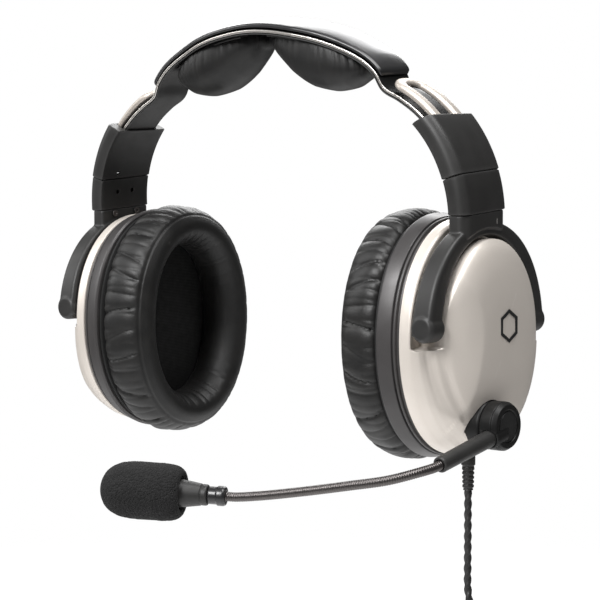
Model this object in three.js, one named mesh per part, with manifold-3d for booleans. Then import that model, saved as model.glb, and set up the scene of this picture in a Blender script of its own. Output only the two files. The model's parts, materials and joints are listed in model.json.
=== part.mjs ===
// Over-ear aviation headset with a boom microphone, as worn: two oval ear cups in forked yokes,
// curved size sliders on a sprung headband, and a cord that hangs from the left cup to a tied coil
// and a round panel plug.
//
// Millimetres, +Z up. The origin is on the middle plane, at the height of the top of the head.
// The wearer faces -Y and the wearer's left is +X, which is the side of the boom microphone.
// The headband, its sliders and the swivels lean forward of the ear cups by LEAN.
// Heights in this file are measured from the axis that the ear cups tilt on, and the whole headset
// is lowered by CROWN_HEIGHT at the end.

import * as THREE from 'three';
import { mergeVertices } from 'three/addons/utils/BufferGeometryUtils.js';
import Module from 'manifold-3d';

const wasm = await Module();
wasm.setup();

// ---------------------------------------------------------------- driving dimensions

const CROWN_HEIGHT = 106;            // top of the head above the tilt axis
const GAP = 0.3;                     // clearance between pieces that touch

const CUP = { y: 4.5, z: -6 };       // middle of an ear cup
const OVAL_SIDES = 28;               // facets around an ear cup
const OVAL_POWER = 2.1;              // a little fuller than a plain ellipse
const PIVOT_X = 107.3;               // tilt axis of a cup, along Y at height 0
const SWIVEL_X = 109;                // swivel axis of a yoke

const SLIDE = { x: 50, z: 48 };      // centre of the arc that the size slider runs on
const LEAN = THREE.MathUtils.degToRad(5);
const STRAP = { radius: 56.9, halfWidth: 10.4, endAngle: 21.5 };
const SLEEVE = { inner: 54.4, outer: 63.7, halfWidth: 17, top: 43, seam: 16.2 };
const SLOT = { inner: 55.2, shoulder: 58.3, outer: 62.7, halfWidth: 11.5, railHalfWidth: 10.6 };
const RAIL = { radius: 60.9, width: 5.2, thick: 2.8, spread: 7.4, bend: 62, top: 67.25 };

const NECK = { inner: 104.3, outer: 113.5, halfWidth: 15.8, bottom: 34, top: 47.7 };
const ARCH = { inner: 103.4, outer: 111, wide: 41.5, high: 49.5, innerWide: 36, innerHigh: 44 };
const YOKE_EYE_RADIUS = 6;           // round end of a yoke arm, about the tilt axis
const PIN_RADIUS = 1.6;

const SHELL = { rim: 95.1, channel: 100.8, islandWide: 34.6, islandHigh: 42.9, notch: -8 };

const BOOM_AXIS = { y: -3.9, z: -42.1 };
const KNOB = { inner: 119.8, thick: 8.2, radius: 10.5 };
const ARM_RADIUS = 3.7;
const ARM = [new THREE.Vector3(123.9, -10.8, -46.2), new THREE.Vector3(123.9, -48.1, -53.7)];
const GOOSENECK_RADIUS = 1.95;
const MIC_BASE = new THREE.Vector3(44.3, -89.1, -69.8);
const MIC_DIRECTION = new THREE.Vector3(-0.886, -0.464, 0.033).normalize();

const CORD = { x: 101.4, y: 4.5, top: -73.2, radius: 1.75 };
const COIL = { z: -158.5, radius: 20, halfRadial: 5.3, halfAxial: 7 };
const PLUG_TOP = -205;

// ---------------------------------------------------------------- colours and finishes

const finish = (color, roughness, metalness = 0) =>
  new THREE.MeshStandardMaterial({ color, roughness, metalness });

const CHAMPAGNE = finish(0xc9bfb3, 0.35, 0.85);
const STEEL = finish(0xcfcac2, 0.28, 1);
const GLOSS_BLACK = finish(0x1b1b1c, 0.12);
const MATTE_BLACK = finish(0x1d1d1e, 0.55);
const SATIN_GREY = finish(0x4a484a, 0.4, 0.3);
const GUNMETAL = finish(0x4b4648, 0.35, 0.8);
const LEATHER = finish(0x1c1b1b, 0.5);
const FOAM = finish(0x2c2b2c, 0.95);
const BOARD = finish(0x1f5136, 0.6);

// ---------------------------------------------------------------- closed solids

// Turns the faces of a closed geometry outwards, whichever way they were wound.
function facingOut(geometry) {
  const position = geometry.getAttribute('position');
  const index = geometry.getIndex().array;
  const corner = [new THREE.Vector3(), new THREE.Vector3(), new THREE.Vector3()];
  let volume = 0;
  for (let face = 0; face < index.length; face += 3) {
    corner.forEach((point, k) => point.fromBufferAttribute(position, index[face + k]));
    volume += corner[0].dot(corner[1].clone().cross(corner[2]));
  }
  if (volume < 0) {
    for (let face = 0; face < index.length; face += 3) {
      [index[face], index[face + 1]] = [index[face + 1], index[face]];
    }
  }
  geometry.computeVertexNormals();
  return geometry;
}

function geometryOf(positions, faces) {
  const geometry = new THREE.BufferGeometry();
  geometry.setAttribute('position', new THREE.Float32BufferAttribute(positions, 3));
  geometry.setIndex(faces);
  return facingOut(geometry);
}

// A skin over a row of rings of points. A looped row closes on itself, any other gets end caps.
function skin(rings, looped = false) {
  const count = rings[0].length;
  const positions = rings.flat().flatMap((point) => point.toArray());
  const faces = [];
  const spans = looped ? rings.length : rings.length - 1;
  for (let i = 0; i < spans; i++) {
    const here = i * count;
    const next = ((i + 1) % rings.length) * count;
    for (let j = 0; j < count; j++) {
      const k = (j + 1) % count;
      faces.push(here + j, here + k, next + k, here + j, next + k, next + j);
    }
  }
  if (!looped) {
    const lastStart = (rings.length - 1) * count;
    for (const [ring, start, flip] of [[rings[0], 0, true], [rings.at(-1), lastStart, false]]) {
      const middle = ring.reduce((sum, point) => sum.add(point), new THREE.Vector3()).divideScalar(count);
      const centre = positions.length / 3;
      positions.push(...middle.toArray());
      for (let j = 0; j < count; j++) {
        const k = (j + 1) % count;
        faces.push(centre, start + (flip ? k : j), start + (flip ? j : k));
      }
    }
  }
  return geometryOf(positions, faces);
}

// ---------------------------------------------------------------- joins and cuts

function toManifold(geometry) {
  const bare = geometry.clone();
  bare.deleteAttribute('normal');
  bare.deleteAttribute('uv');
  const merged = mergeVertices(bare, 1e-4);
  return new wasm.Manifold(new wasm.Mesh({
    numProp: 3,
    vertProperties: new Float32Array(merged.getAttribute('position').array),
    triVerts: new Uint32Array(merged.getIndex().array),
  }));
}

function fromManifold(solid) {
  const mesh = solid.getMesh();
  return geometryOf(Array.from(mesh.vertProperties), Array.from(mesh.triVerts));
}

function join(...geometries) {
  return fromManifold(geometries.map(toManifold).reduce((sum, solid) => sum.add(solid)));
}

function cut(geometry, ...tools) {
  const solid = toManifold(geometry);
  return fromManifold(tools.map(toManifold).reduce((rest, tool) => rest.subtract(tool), solid));
}

// ---------------------------------------------------------------- basic shapes

// A point on an oval about the middle of an ear cup, in the plane x.
function ovalPoint(x, halfWidth, halfHeight, angle) {
  const bend = (value) => Math.sign(value) * Math.abs(value) ** (2 / OVAL_POWER);
  return new THREE.Vector3(
    x,
    CUP.y + halfWidth * bend(Math.cos(angle)),
    CUP.z + halfHeight * bend(Math.sin(angle)),
  );
}

const ovalSection = ([x, halfWidth, halfHeight]) =>
  Array.from({ length: OVAL_SIDES }, (_, k) =>
    ovalPoint(x, halfWidth, halfHeight, (2 * Math.PI * k) / OVAL_SIDES));

const ovalSolid = (profile) => skin(profile.map(ovalSection));
const ovalHoop = (profile) => skin(profile.map(ovalSection), true);

// A turned piece: profile points are [radius, distance along the axis from start].
function turned(profile, start, direction, sides = 20) {
  const geometry = new THREE.LatheGeometry(profile.map(([r, s]) => new THREE.Vector2(r, s)), sides);
  const turn = new THREE.Quaternion().setFromUnitVectors(new THREE.Vector3(0, 1, 0), direction);
  geometry.applyQuaternion(turn);
  geometry.translate(...start.toArray());
  geometry.deleteAttribute('normal');
  geometry.deleteAttribute('uv');
  return facingOut(mergeVertices(geometry, 1e-4));
}

function rod(start, end, radius, sides = 16) {
  const along = end.clone().sub(start);
  const length = along.length();
  return turned([[0, 0], [radius, 0], [radius, length], [0, length]], start, along.normalize(), sides);
}

const rodAlongX = (x0, x1, y, z, radius, sides) =>
  rod(new THREE.Vector3(x0, y, z), new THREE.Vector3(x1, y, z), radius, sides);

// A round tube along a curve, as an extruded polygon.
function tube(points, radius, steps, sides) {
  const shape = new THREE.Shape(Array.from({ length: sides }, (_, k) =>
    new THREE.Vector2(radius, 0).rotateAround(new THREE.Vector2(), (2 * Math.PI * k) / sides)));
  const extrudePath = points.length === 2
    ? new THREE.LineCurve3(...points)
    : new THREE.CatmullRomCurve3(points);
  const geometry = new THREE.ExtrudeGeometry(shape, { steps, extrudePath });
  geometry.deleteAttribute('normal');
  geometry.deleteAttribute('uv');
  return facingOut(mergeVertices(geometry, 1e-4));
}

// A flat outline of [y, z] points, made solid from x0 to x1.
function slab(outline, x0, x1) {
  const rings = [x0, x1].map((x) => outline.map(([y, z]) => new THREE.Vector3(x, y, z)));
  const triangles = THREE.ShapeUtils.triangulateShape(outline.map(([y, z]) => new THREE.Vector2(y, z)), []);
  const count = outline.length;
  const faces = triangles.flatMap(([a, b, c]) => [c, b, a, a + count, b + count, c + count]);
  for (let j = 0; j < count; j++) {
    const k = (j + 1) % count;
    faces.push(j, k, k + count, j, k + count, j + count);
  }
  return geometryOf(rings.flat().flatMap((point) => point.toArray()), faces);
}

const box = (x0, x1, y0, y1, z0, z1) => slab([[y0, z0], [y1, z0], [y1, z1], [y0, z1]], x0, x1);

// ---------------------------------------------------------------- placing the sub-parts

const headset = new THREE.Group();
headset.position.z = -CROWN_HEIGHT;

function place(name, geometry, material) {
  const mesh = new THREE.Mesh(geometry, material);
  mesh.name = name;
  headset.add(mesh);
}

function mirrored(geometry) {
  const other = geometry.clone();
  other.scale(-1, 1, 1);
  return facingOut(other);
}

// The left piece as drawn, on +X, and its mirror image on the right.
function placePair(name, geometry, material) {
  place(`${name}_left`, geometry, material);
  place(`${name}_right`, mirrored(geometry), material);
}

// Leans a piece forward with the headband, about the line across the middles of the slider arcs.
function leaned(geometry) {
  return geometry.clone().translate(0, 0, -SLIDE.z).rotateX(LEAN).translate(0, 0, SLIDE.z);
}

// ---------------------------------------------------------------- headband

// A point at a radius and an angle in degrees on the slider's arc, at a distance y from its plane.
function onSlide(radius, degrees, y = 0) {
  const angle = THREE.MathUtils.degToRad(degrees);
  return new THREE.Vector3(SLIDE.x + radius * Math.cos(angle), y, SLIDE.z + radius * Math.sin(angle));
}

const BAND_HALF = [
  new THREE.Vector3(30, 0, 126.4),
  new THREE.Vector3(49, 0, 119.8),
  new THREE.Vector3(59.5, 0, 114.2),
  new THREE.Vector3(65.4, 0, 108.8),
  new THREE.Vector3(69.3, 0, 102.4),
  ...[61, 51, 41, 31, STRAP.endAngle].map((degrees) => onSlide(STRAP.radius, degrees)),
];
const BAND_CURVE = new THREE.CatmullRomCurve3([
  ...BAND_HALF.map((point) => new THREE.Vector3(-point.x, 0, point.z)).reverse(),
  new THREE.Vector3(0, 0, 130.4),
  ...BAND_HALF,
]);
BAND_CURVE.arcLengthDivisions = 800;

// Straight-line steps between [distance from the middle, value] pairs.
function stepped(x, pairs) {
  const after = pairs.findIndex(([limit]) => limit >= x);
  if (after === 0) return pairs[0][1];
  if (after < 0) return pairs.at(-1)[1];
  const [[x0, v0], [x1, v1]] = pairs.slice(after - 1, after + 1);
  return THREE.MathUtils.lerp(v0, v1, (x - x0) / (x1 - x0));
}

// Half width and arch across the width, by distance from the middle.
const BAND_WIDTH = [
  [0, 18], [24, 17.6], [34, 15.8], [45, 13.4], [55, 12], [62, 11.2], [69, 10.6], [75, STRAP.halfWidth],
];
const BAND_RISE = [[0, 2.6], [28, 2.3], [45, 1.6], [60, 0.8], [68, 0]];
const ACROSS = [-1, -0.55, 0, 0.55, 1];

// One layer of the headband between two places along it (0 and 1 are the strap ends). The layer
// lies from `low` to `high` outside the band's own line, and is arched across its width.
function bandLayer({ from = 0, to = 1, stations, low, high, trim = 0, share = 1 }) {
  const rings = [];
  for (let i = 0; i <= stations; i++) {
    const position = THREE.MathUtils.lerp(from, to, i / stations);
    const centre = BAND_CURVE.getPointAt(position);
    const along = BAND_CURVE.getTangentAt(position);
    const outward = new THREE.Vector3(-along.z, 0, along.x);
    const halfWidth = stepped(Math.abs(centre.x), BAND_WIDTH) * share - trim;
    const rise = stepped(Math.abs(centre.x), BAND_RISE);
    const across = (height, k) => centre.clone()
      .addScaledVector(outward, height + rise * (1 - k * k * share * share))
      .setY(halfWidth * k);
    const lower = ACROSS.map((k) => across(low, k));
    const upper = ACROSS.toReversed().map((k) => across(high, k));
    rings.push([...lower, ...upper]);
  }
  return skin(rings);
}

// The place along the headband whose distance from the middle is x, on the left half.
function placeAt(x) {
  let low = 0.5;
  let high = 1;
  for (let i = 0; i < 30; i++) {
    const middle = (low + high) / 2;
    if (BAND_CURVE.getPointAt(middle).x < x) low = middle;
    else high = middle;
  }
  return low;
}

const COVER_END = placeAt(68);
const PAD_BASE = [placeAt(8), placeAt(54)];

// Places along a head pad: distance from the middle, lowest and highest point, half width.
const HEAD_PAD = [
  [4, 118, 126.4, 8], [8, 114, 126.2, 12.4], [16, 108.6, 125.2, 14.8], [27, 104, 122.6, 15],
  [38, 101.4, 118.8, 14.2], [47, 101.2, 115, 12.8], [54, 103.6, 111.4, 10.6], [58.5, 107.2, 110, 7.5],
];

function headPad() {
  const rings = HEAD_PAD.map(([x, lowest, highest, halfWidth]) => {
    return Array.from({ length: 12 }, (_, k) => {
      const angle = (2 * Math.PI * k) / 12;
      return new THREE.Vector3(
        x,
        halfWidth * Math.cos(angle),
        (highest + lowest) / 2 + ((highest - lowest) / 2) * Math.sin(angle),
      );
    });
  });
  return skin(rings);
}

// Section of a flat bar with chamfered edges, as shares of its half width and half thickness.
const BAR_CORNERS = [
  [-1, -0.5], [-0.6, -1], [0.6, -1], [1, -0.5], [1, 0.5], [0.6, 1], [-0.6, 1], [-1, 0.5],
];

// A hairpin of flat bar: up one prong, round the closed end and down the other.
function rail() {
  const prong = [STRAP.endAngle, 30, 38, 46, 54, RAIL.bend];
  const path = [
    ...prong.map((degrees) => [degrees, -RAIL.spread]),
    ...[20, 50, 90, 130, 160].map((turn) => {
      const angle = THREE.MathUtils.degToRad(turn);
      const lift = (RAIL.top - RAIL.bend) * Math.sin(angle);
      return [RAIL.bend + lift, -RAIL.spread * Math.cos(angle)];
    }),
    ...prong.toReversed().map((degrees) => [degrees, RAIL.spread]),
  ];
  const centres = path.map(([degrees, y]) => onSlide(RAIL.radius, degrees, y));
  const rings = centres.map((centre, i) => {
    const before = centres[Math.max(i - 1, 0)];
    const after = centres[Math.min(i + 1, centres.length - 1)];
    const along = after.clone().sub(before).normalize();
    const outward = new THREE.Vector3(centre.x - SLIDE.x, 0, centre.z - SLIDE.z).normalize();
    const sideways = along.clone().cross(outward).normalize();
    return BAR_CORNERS.map(([across, up]) => centre.clone()
      .addScaledVector(sideways, (across * RAIL.width) / 2)
      .addScaledVector(outward, (up * RAIL.thick) / 2));
  });
  return skin(rings);
}

place('band_cover', leaned(bandLayer({
  from: 1 - COVER_END, to: COVER_END, stations: 20, low: 1.5, high: 3.4, trim: 0.2,
})), GLOSS_BLACK);
place('spring_band', leaned(bandLayer({ stations: 34, low: -0.45, high: 0.8 })), STEEL);
place('band_liner', leaned(bandLayer({ stations: 34, low: -1.45, high: -0.85, trim: 0.1 })), MATTE_BLACK);
placePair('pad_base', leaned(bandLayer({
  from: PAD_BASE[0], to: PAD_BASE[1], stations: 10, low: -3.2, high: -2.15, share: 0.8,
})), MATTE_BLACK);
placePair('head_pad', leaned(headPad()), LEATHER);
placePair('size_rail', leaned(rail()), CHAMPAGNE);

// ---------------------------------------------------------------- size sliders and yokes

// A curved bar on the slider's arc, with its two outer corners rounded off by `round`.
function slideBar(from, to, inner, outer, halfWidth, round, stations) {
  const rings = [];
  for (let i = 0; i <= stations; i++) {
    const degrees = THREE.MathUtils.lerp(from, to, i / stations);
    const half = [
      [inner, halfWidth],
      [outer - round, halfWidth],
      [outer - round * 0.3, halfWidth - round * 0.3],
      [outer, halfWidth - round],
    ];
    const corners = round
      ? [...half, ...half.toReversed().map(([r, y]) => [r, -y])]
      : [[inner, halfWidth], [outer, halfWidth], [outer, -halfWidth], [inner, -halfWidth]];
    rings.push(corners.map(([r, y]) => onSlide(r, degrees, y)));
  }
  return skin(rings);
}

const strapSlot = (from, to) => slideBar(from, to, SLOT.inner, SLOT.shoulder + 0.1, SLOT.halfWidth, 0, 6);
const railSlot = (from, to) => slideBar(from, to, SLOT.shoulder, SLOT.outer, SLOT.railHalfWidth, 0, 6);

// A screw hole in a sleeve's inner face.
function screwHole(degrees, y) {
  return rod(onSlide(SLEEVE.inner - 1, degrees, y), onSlide(SLOT.inner + 0.5, degrees, y), 1.2, 10);
}

function upperSleeve() {
  const bar = slideBar(SLEEVE.seam, SLEEVE.top, SLEEVE.inner, SLEEVE.outer, SLEEVE.halfWidth, 3.4, 7);
  const through = [SLEEVE.seam - 2, SLEEVE.top + 2];
  return cut(bar, strapSlot(...through), railSlot(...through), screwHole(SLEEVE.seam + 3, -6));
}

function middleSleeve() {
  const halfWidth = SLEEVE.halfWidth - 0.4;
  const bar = slideBar(0.1, SLEEVE.seam - 0.3, SLEEVE.inner, SLEEVE.outer, halfWidth, 3.4, 5);
  const through = [1.7, SLEEVE.seam + 2];
  const swivelHole = rod(new THREE.Vector3(SWIVEL_X, 0, 45), new THREE.Vector3(SWIVEL_X, 0, 52), 2.8, 16);
  const screwHoles = [-5, 5].map((y) => screwHole(9, y));
  return cut(bar, strapSlot(...through), railSlot(...through), swivelHole, ...screwHoles);
}

// Part of an oval about the cup's middle, as [y, z] points from one angle to another.
function ovalArc(halfWidth, halfHeight, fromDegrees, toDegrees, steps) {
  return Array.from({ length: steps + 1 }, (_, k) => {
    const degrees = THREE.MathUtils.lerp(fromDegrees, toDegrees, k / steps);
    const point = ovalPoint(0, halfWidth, halfHeight, THREE.MathUtils.degToRad(degrees));
    return [point.y, point.z];
  });
}

// The room for the two pivot pins, right through along the tilt axis.
function pivotHole() {
  const [front, back] = [-50, 50].map((reach) => new THREE.Vector3(PIVOT_X, CUP.y + reach, 0));
  return rod(front, back, PIN_RADIUS + GAP, 12);
}

// A point on the swivel axis, at a distance above the line that the headband leans about.
const onSwivel = (lift) =>
  new THREE.Vector3(SWIVEL_X, -lift * Math.sin(LEAN), SLIDE.z + lift * Math.cos(LEAN));

// The fork: a neck under the sleeve, an arch over the cup and a round eye at each end of it.
function yoke() {
  const arch = slab([
    ...ovalArc(ARCH.wide, ARCH.high, 7, 173, 18),
    ...ovalArc(ARCH.innerWide, ARCH.innerHigh, 172, 8, 18),
  ], ARCH.inner, ARCH.outer);
  const eyes = [1, -1].map((end) => {
    const [near, far] = [35.7, 41.3].map((reach) => new THREE.Vector3(PIVOT_X, CUP.y + end * reach, 0));
    return rod(near, far, YOKE_EYE_RADIUS, 20);
  });
  const pinHole = pivotHole();
  const round = 3.2;
  const outline = [
    [NECK.inner, -NECK.halfWidth], [NECK.outer - round, -NECK.halfWidth],
    [NECK.outer - round * 0.3, round * 0.3 - NECK.halfWidth], [NECK.outer, round - NECK.halfWidth],
  ];
  const section = [...outline, ...outline.toReversed().map(([x, y]) => [x, -y])];
  const neckAt = (z, slope) => section.map(([x, y]) => new THREE.Vector3(x, y, z + y * slope));
  const neck = skin([neckAt(NECK.bottom, 0), neckAt(NECK.top, Math.tan(LEAN))]);
  const cupRoom = slab(ovalArc(ARCH.innerWide, ARCH.innerHigh, 0, 350, 35), NECK.inner - 5, NECK.outer + 5);
  const swivelHole = rod(onSwivel(-7), onSwivel(12), 2.8, 16);
  return cut(join(arch, cut(neck, cupRoom), ...eyes), pinHole, swivelHole);
}

function swivelPin() {
  const profile = [[0, 0], [2.4, 0], [2.4, 8.9], [3.3, 8.9], [3.3, 9.8], [0, 9.8]];
  return turned(profile, new THREE.Vector3(SWIVEL_X, 0, 41.3), new THREE.Vector3(0, 0, 1), 16);
}

function pivotPin(end) {
  const start = new THREE.Vector3(PIVOT_X, CUP.y + end * 41.2, 0);
  return rod(start, new THREE.Vector3(PIVOT_X, CUP.y + end * 33.2, 0), PIN_RADIUS, 12);
}

// A pan-head screw in the inner face of the neck.
function neckScrew(y) {
  const start = new THREE.Vector3(NECK.inner - GAP, y, 45.5 + y * Math.tan(LEAN));
  const profile = [[0, 0], [1.5, 0], [1.8, 0.5], [1.8, 0.9], [0, 0.9]];
  return turned(profile, start, new THREE.Vector3(-1, 0, 0), 12);
}

placePair('sleeve_upper', leaned(upperSleeve()), MATTE_BLACK);
placePair('sleeve_middle', leaned(middleSleeve()), MATTE_BLACK);
placePair('yoke', yoke(), MATTE_BLACK);
placePair('swivel_pin', leaned(swivelPin()), STEEL);
placePair('neck_screw_front', neckScrew(-7.5), GUNMETAL);
placePair('neck_screw_back', neckScrew(7.5), GUNMETAL);
placePair('pivot_pin_front', pivotPin(-1), STEEL);
placePair('pivot_pin_back', pivotPin(1), STEEL);

// ---------------------------------------------------------------- ear cups

const SHELL_OUTSIDE = [
  [SHELL.rim, 42.4, 51.4], [98.5, 42.2, 51.1], [102, 41.2, 50], [107, 39.3, 48], [111, 37, 45.8],
  [114, 34.3, 43.1], [116.6, 30.2, 38.8], [118.6, 23.5, 31.5], [119.7, 14.5, 21.5], [120.1, 5, 9],
];
const SHELL_INSIDE = [
  [SHELL.rim - 1, 39.4, 48.4], [98.6, 39.4, 48.4], [98.6, 32.2, 41.2], [111.5, 31.9, 40.8],
  [115, 27, 35.5], [117.3, 17, 24], [118, 5, 9],
];

function cupShell() {
  const island = ovalArc(SHELL.islandWide, SHELL.islandHigh, 183, -3, 20);
  const channel = slab([
    ...island,
    [CUP.y + 60, SHELL.notch], [CUP.y + 60, 70], [CUP.y - 60, 70], [CUP.y - 60, SHELL.notch],
  ], SHELL.channel, 130);
  const pinHole = pivotHole();
  return cut(ovalSolid(SHELL_OUTSIDE), channel, pinHole);
}

// The left shell also carries the boom's seat and the cord's outlet.
function leftShell() {
  const { y, z } = BOOM_AXIS;
  const boss = rodAlongX(107.8, 124, y, z, 12.5, 24);
  const hollow = cut(ovalSolid(SHELL_INSIDE), boss);
  const seat = rodAlongX(112, 132, y, z, KNOB.radius + GAP, 28);
  const screwHole = rodAlongX(105, 113, y, z, 2.4, 12);
  const outlet = rod(new THREE.Vector3(CORD.x, CORD.y, -60), new THREE.Vector3(CORD.x, CORD.y, -40), 3, 16);
  return cut(cupShell(), hollow, seat, screwHole, outlet);
}

function rightShell() {
  return mirrored(cut(cupShell(), ovalSolid(SHELL_INSIDE)));
}

place('cup_shell_left', leftShell(), CHAMPAGNE);
place('cup_shell_right', rightShell(), CHAMPAGNE);

placePair('cup_ring', ovalHoop([
  [84.4, 45, 54], [94.7, 42.5, 51.5], [94.7, 39.2, 48.2], [84.4, 39.2, 48.2],
]), SATIN_GREY);

placePair('baffle', cut(
  ovalSolid([[82.4, 42.6, 52.4], [84, 42.6, 52.4]]),
  rodAlongX(80, 90, CUP.y, CUP.z, 19.6, 28),
), MATTE_BLACK);

placePair('driver', turned(
  [[0, 0], [19.2, 0], [19.2, 3.5], [15, 5], [9, 9.5], [0, 9.5]],
  new THREE.Vector3(82.6, CUP.y, CUP.z), new THREE.Vector3(1, 0, 0), 24,
), MATTE_BLACK);

placePair('ear_screen', ovalSolid([[80.2, 28.9, 41.9], [82, 28.9, 41.9]]), FOAM);
placePair('circuit_board', box(101, 102.6, CUP.y - 17, CUP.y + 17, CUP.z - 16, CUP.z + 24), BOARD);

placePair('ear_cushion', ovalHoop([
  [82, 41, 51.6], [80, 43, 54], [72, 43.3, 55.2], [66, 41.6, 53.9], [61, 38, 50.6],
  [58.4, 34.6, 47.4], [59.5, 31, 43.5], [63, 26.5, 39], [69, 23.8, 36.3], [77, 23.5, 36],
  [79.5, 25, 37.5], [79.8, 29.6, 42.6], [82, 30.4, 43.4],
]), LEATHER);

// ---------------------------------------------------------------- boom microphone

const ARM_DIRECTION = ARM[1].clone().sub(ARM[0]).normalize();

function boomBase() {
  const { y, z } = BOOM_AXIS;
  return cut(rodAlongX(112.3, 119.4, y, z, KNOB.radius, 28), rodAlongX(110, 125, y, z, 2.4, 12));
}

function boomScrew() {
  const start = new THREE.Vector3(105.3, BOOM_AXIS.y, BOOM_AXIS.z);
  const profile = [[0, 0], [2.8, 0], [2.8, 2.1], [2, 2.1], [2, 17], [0, 17]];
  return turned(profile, start, new THREE.Vector3(1, 0, 0), 12);
}

// The knob turns on the base, and its socket block holds the boom's arm.
function boomKnob() {
  const { y, z } = BOOM_AXIS;
  const disc = turned(
    [[0, 0], [KNOB.radius, 0], [KNOB.radius, KNOB.thick - 1.3], [KNOB.radius - 1.3, KNOB.thick],
      [0, KNOB.thick]],
    new THREE.Vector3(KNOB.inner, y, z), new THREE.Vector3(1, 0, 0), 28);
  const socket = rod(
    ARM[0].clone().addScaledVector(ARM_DIRECTION, -7), ARM[0].clone().addScaledVector(ARM_DIRECTION, 2),
    ARM_RADIUS + 1, 16);
  const armBore = rod(
    ARM[0].clone().addScaledVector(ARM_DIRECTION, -GAP), ARM[1], ARM_RADIUS + GAP, 18);
  const underside = box(110, KNOB.inner, -40, 20, -70, -20);
  return cut(join(disc, socket), armBore, rodAlongX(118, 122.8, y, z, 2.4, 12), underside);
}

function boomArm() {
  const length = ARM[0].distanceTo(ARM[1]);
  const bore = GOOSENECK_RADIUS + GAP;
  return turned(
    [[0, 0], [ARM_RADIUS, 0], [ARM_RADIUS, length], [bore, length], [bore, length - 4], [0, length - 4]],
    ARM[0], ARM_DIRECTION, 18);
}

const GOOSENECK_ROUTE = [
  ARM[1].clone().addScaledVector(ARM_DIRECTION, -3.4),
  ARM[1].clone().addScaledVector(ARM_DIRECTION, 3),
  new THREE.Vector3(121.6, -58.3, -55.6),
  new THREE.Vector3(112.2, -67.2, -58.8),
  new THREE.Vector3(97, -73.9, -61.8),
  new THREE.Vector3(76, -79.1, -65.8),
  new THREE.Vector3(58, -83.6, -68.8),
  MIC_BASE.clone().addScaledVector(MIC_DIRECTION, -4),
  MIC_BASE.clone().addScaledVector(MIC_DIRECTION, 2.2),
];

const alongMic = (distance) => MIC_BASE.clone().addScaledVector(MIC_DIRECTION, distance);

function micCollar() {
  const bore = GOOSENECK_RADIUS + GAP;
  return turned(
    [[0, 2.6], [bore, 2.6], [bore, 0], [3.9, 0], [4.2, 1], [4.2, 3.4], [3.7, 3.9], [3.7, 7.4], [0, 7.4]],
    MIC_BASE, MIC_DIRECTION, 18);
}

function micHousing() {
  return turned(
    [[0, 0], [4.4, 0], [4.8, 0.8], [6.2, 13], [6.2, 20], [0, 20]],
    alongMic(7.8), MIC_DIRECTION, 20);
}

function micCapsule() {
  return turned([[0, 0], [4.9, 0], [4.9, 6.5], [0, 6.5]], alongMic(28.2), MIC_DIRECTION, 16);
}

// The foam windscreen is a thick cap with a blind bore for the microphone's front end.
function windscreen() {
  return turned(
    [[0, 16.9], [6.6, 16.9], [6.6, 0.6], [9.4, 0], [11.6, 3], [12.2, 8], [12.2, 22], [11.4, 28], [8.6, 33],
      [4.5, 35.6], [0, 36.3]],
    alongMic(18.4), MIC_DIRECTION, 20);
}

place('boom_base', boomBase(), MATTE_BLACK);
place('boom_screw', boomScrew(), STEEL);
place('boom_knob', boomKnob(), MATTE_BLACK);
place('boom_arm', boomArm(), MATTE_BLACK);
place('gooseneck', tube(GOOSENECK_ROUTE, GOOSENECK_RADIUS, 26, 8), GUNMETAL);
place('mic_collar', micCollar(), MATTE_BLACK);
place('mic_housing', micHousing(), MATTE_BLACK);
place('mic_capsule', micCapsule(), STEEL);
place('windscreen', windscreen(), FOAM);

// ---------------------------------------------------------------- cord, coil and plug

const DOWN = new THREE.Vector3(0, 0, -1);
const onCord = (z) => new THREE.Vector3(CORD.x, CORD.y, z);

function strainRelief() {
  return turned(
    [[0, 0], [2.6, 0], [2.6, 10.6], [3.1, 11.2], [3.1, 15], [2.7, 15.4], [2.4, 26], [0, 26]],
    onCord(-46.8), DOWN, 16);
}

// The turns of the coil, as one ring with a rounded section, standing in a plane facing -Y.
function coil() {
  const { radius, halfRadial, halfAxial } = COIL;
  const section = [
    [-1, -0.6], [-0.6, -1], [0.6, -1], [1, -0.6], [1, 0.6], [0.6, 1], [-0.6, 1], [-1, 0.6], [-1, -0.6],
  ];
  const profile = section.map(([out, along]) => [radius + out * halfRadial, along * halfAxial]);
  return turned(profile, onCord(COIL.z), new THREE.Vector3(0, -1, 0), 28);
}

// A strap wrapped once round the bundle of turns, at the side of the coil.
function cordTie() {
  const halfHeight = 4;
  const wrap = (clear, halfLength) => {
    const reach = [COIL.halfRadial + clear, COIL.halfAxial + clear];
    const middle = CORD.x - COIL.radius;
    const corners = [[-1, -1], [1, -1], [1, 1], [-1, 1]];
    return skin([COIL.z - halfLength, COIL.z + halfLength].map((z) => corners.map(([across, along]) =>
      new THREE.Vector3(middle + across * reach[0], CORD.y + along * reach[1], z))));
  };
  return cut(wrap(2.2, halfHeight), wrap(1, halfHeight + 1));
}

// The cord meets the top of the coil's outline and leaves from the bottom of it.
const COIL_TOP = COIL.z + COIL.radius + COIL.halfRadial;
const COIL_BOTTOM = COIL.z - COIL.radius - COIL.halfRadial;

function plugBoot() {
  return turned(
    [[0, 0], [2.3, 0], [3.2, 10], [4.6, 17], [5.6, 19], [5.6, 22], [0, 22]],
    onCord(PLUG_TOP), DOWN, 16);
}

// The barrel ends in a flat shoulder that meets the panel, with a hollow nose beyond it.
function plugBarrel() {
  return turned(
    [[0, 0], [6.2, 0], [6.6, 0.6], [6.6, 20], [4.9, 20], [4.9, 30], [4.2, 30], [4.2, 23], [0, 23]],
    onCord(PLUG_TOP - 22.3), DOWN, 24);
}

function plugInsert() {
  return turned([[0, 0], [3.9, 0], [3.9, 4.5], [0, 4.5]], onCord(PLUG_TOP - 45.7), DOWN, 16);
}

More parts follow.
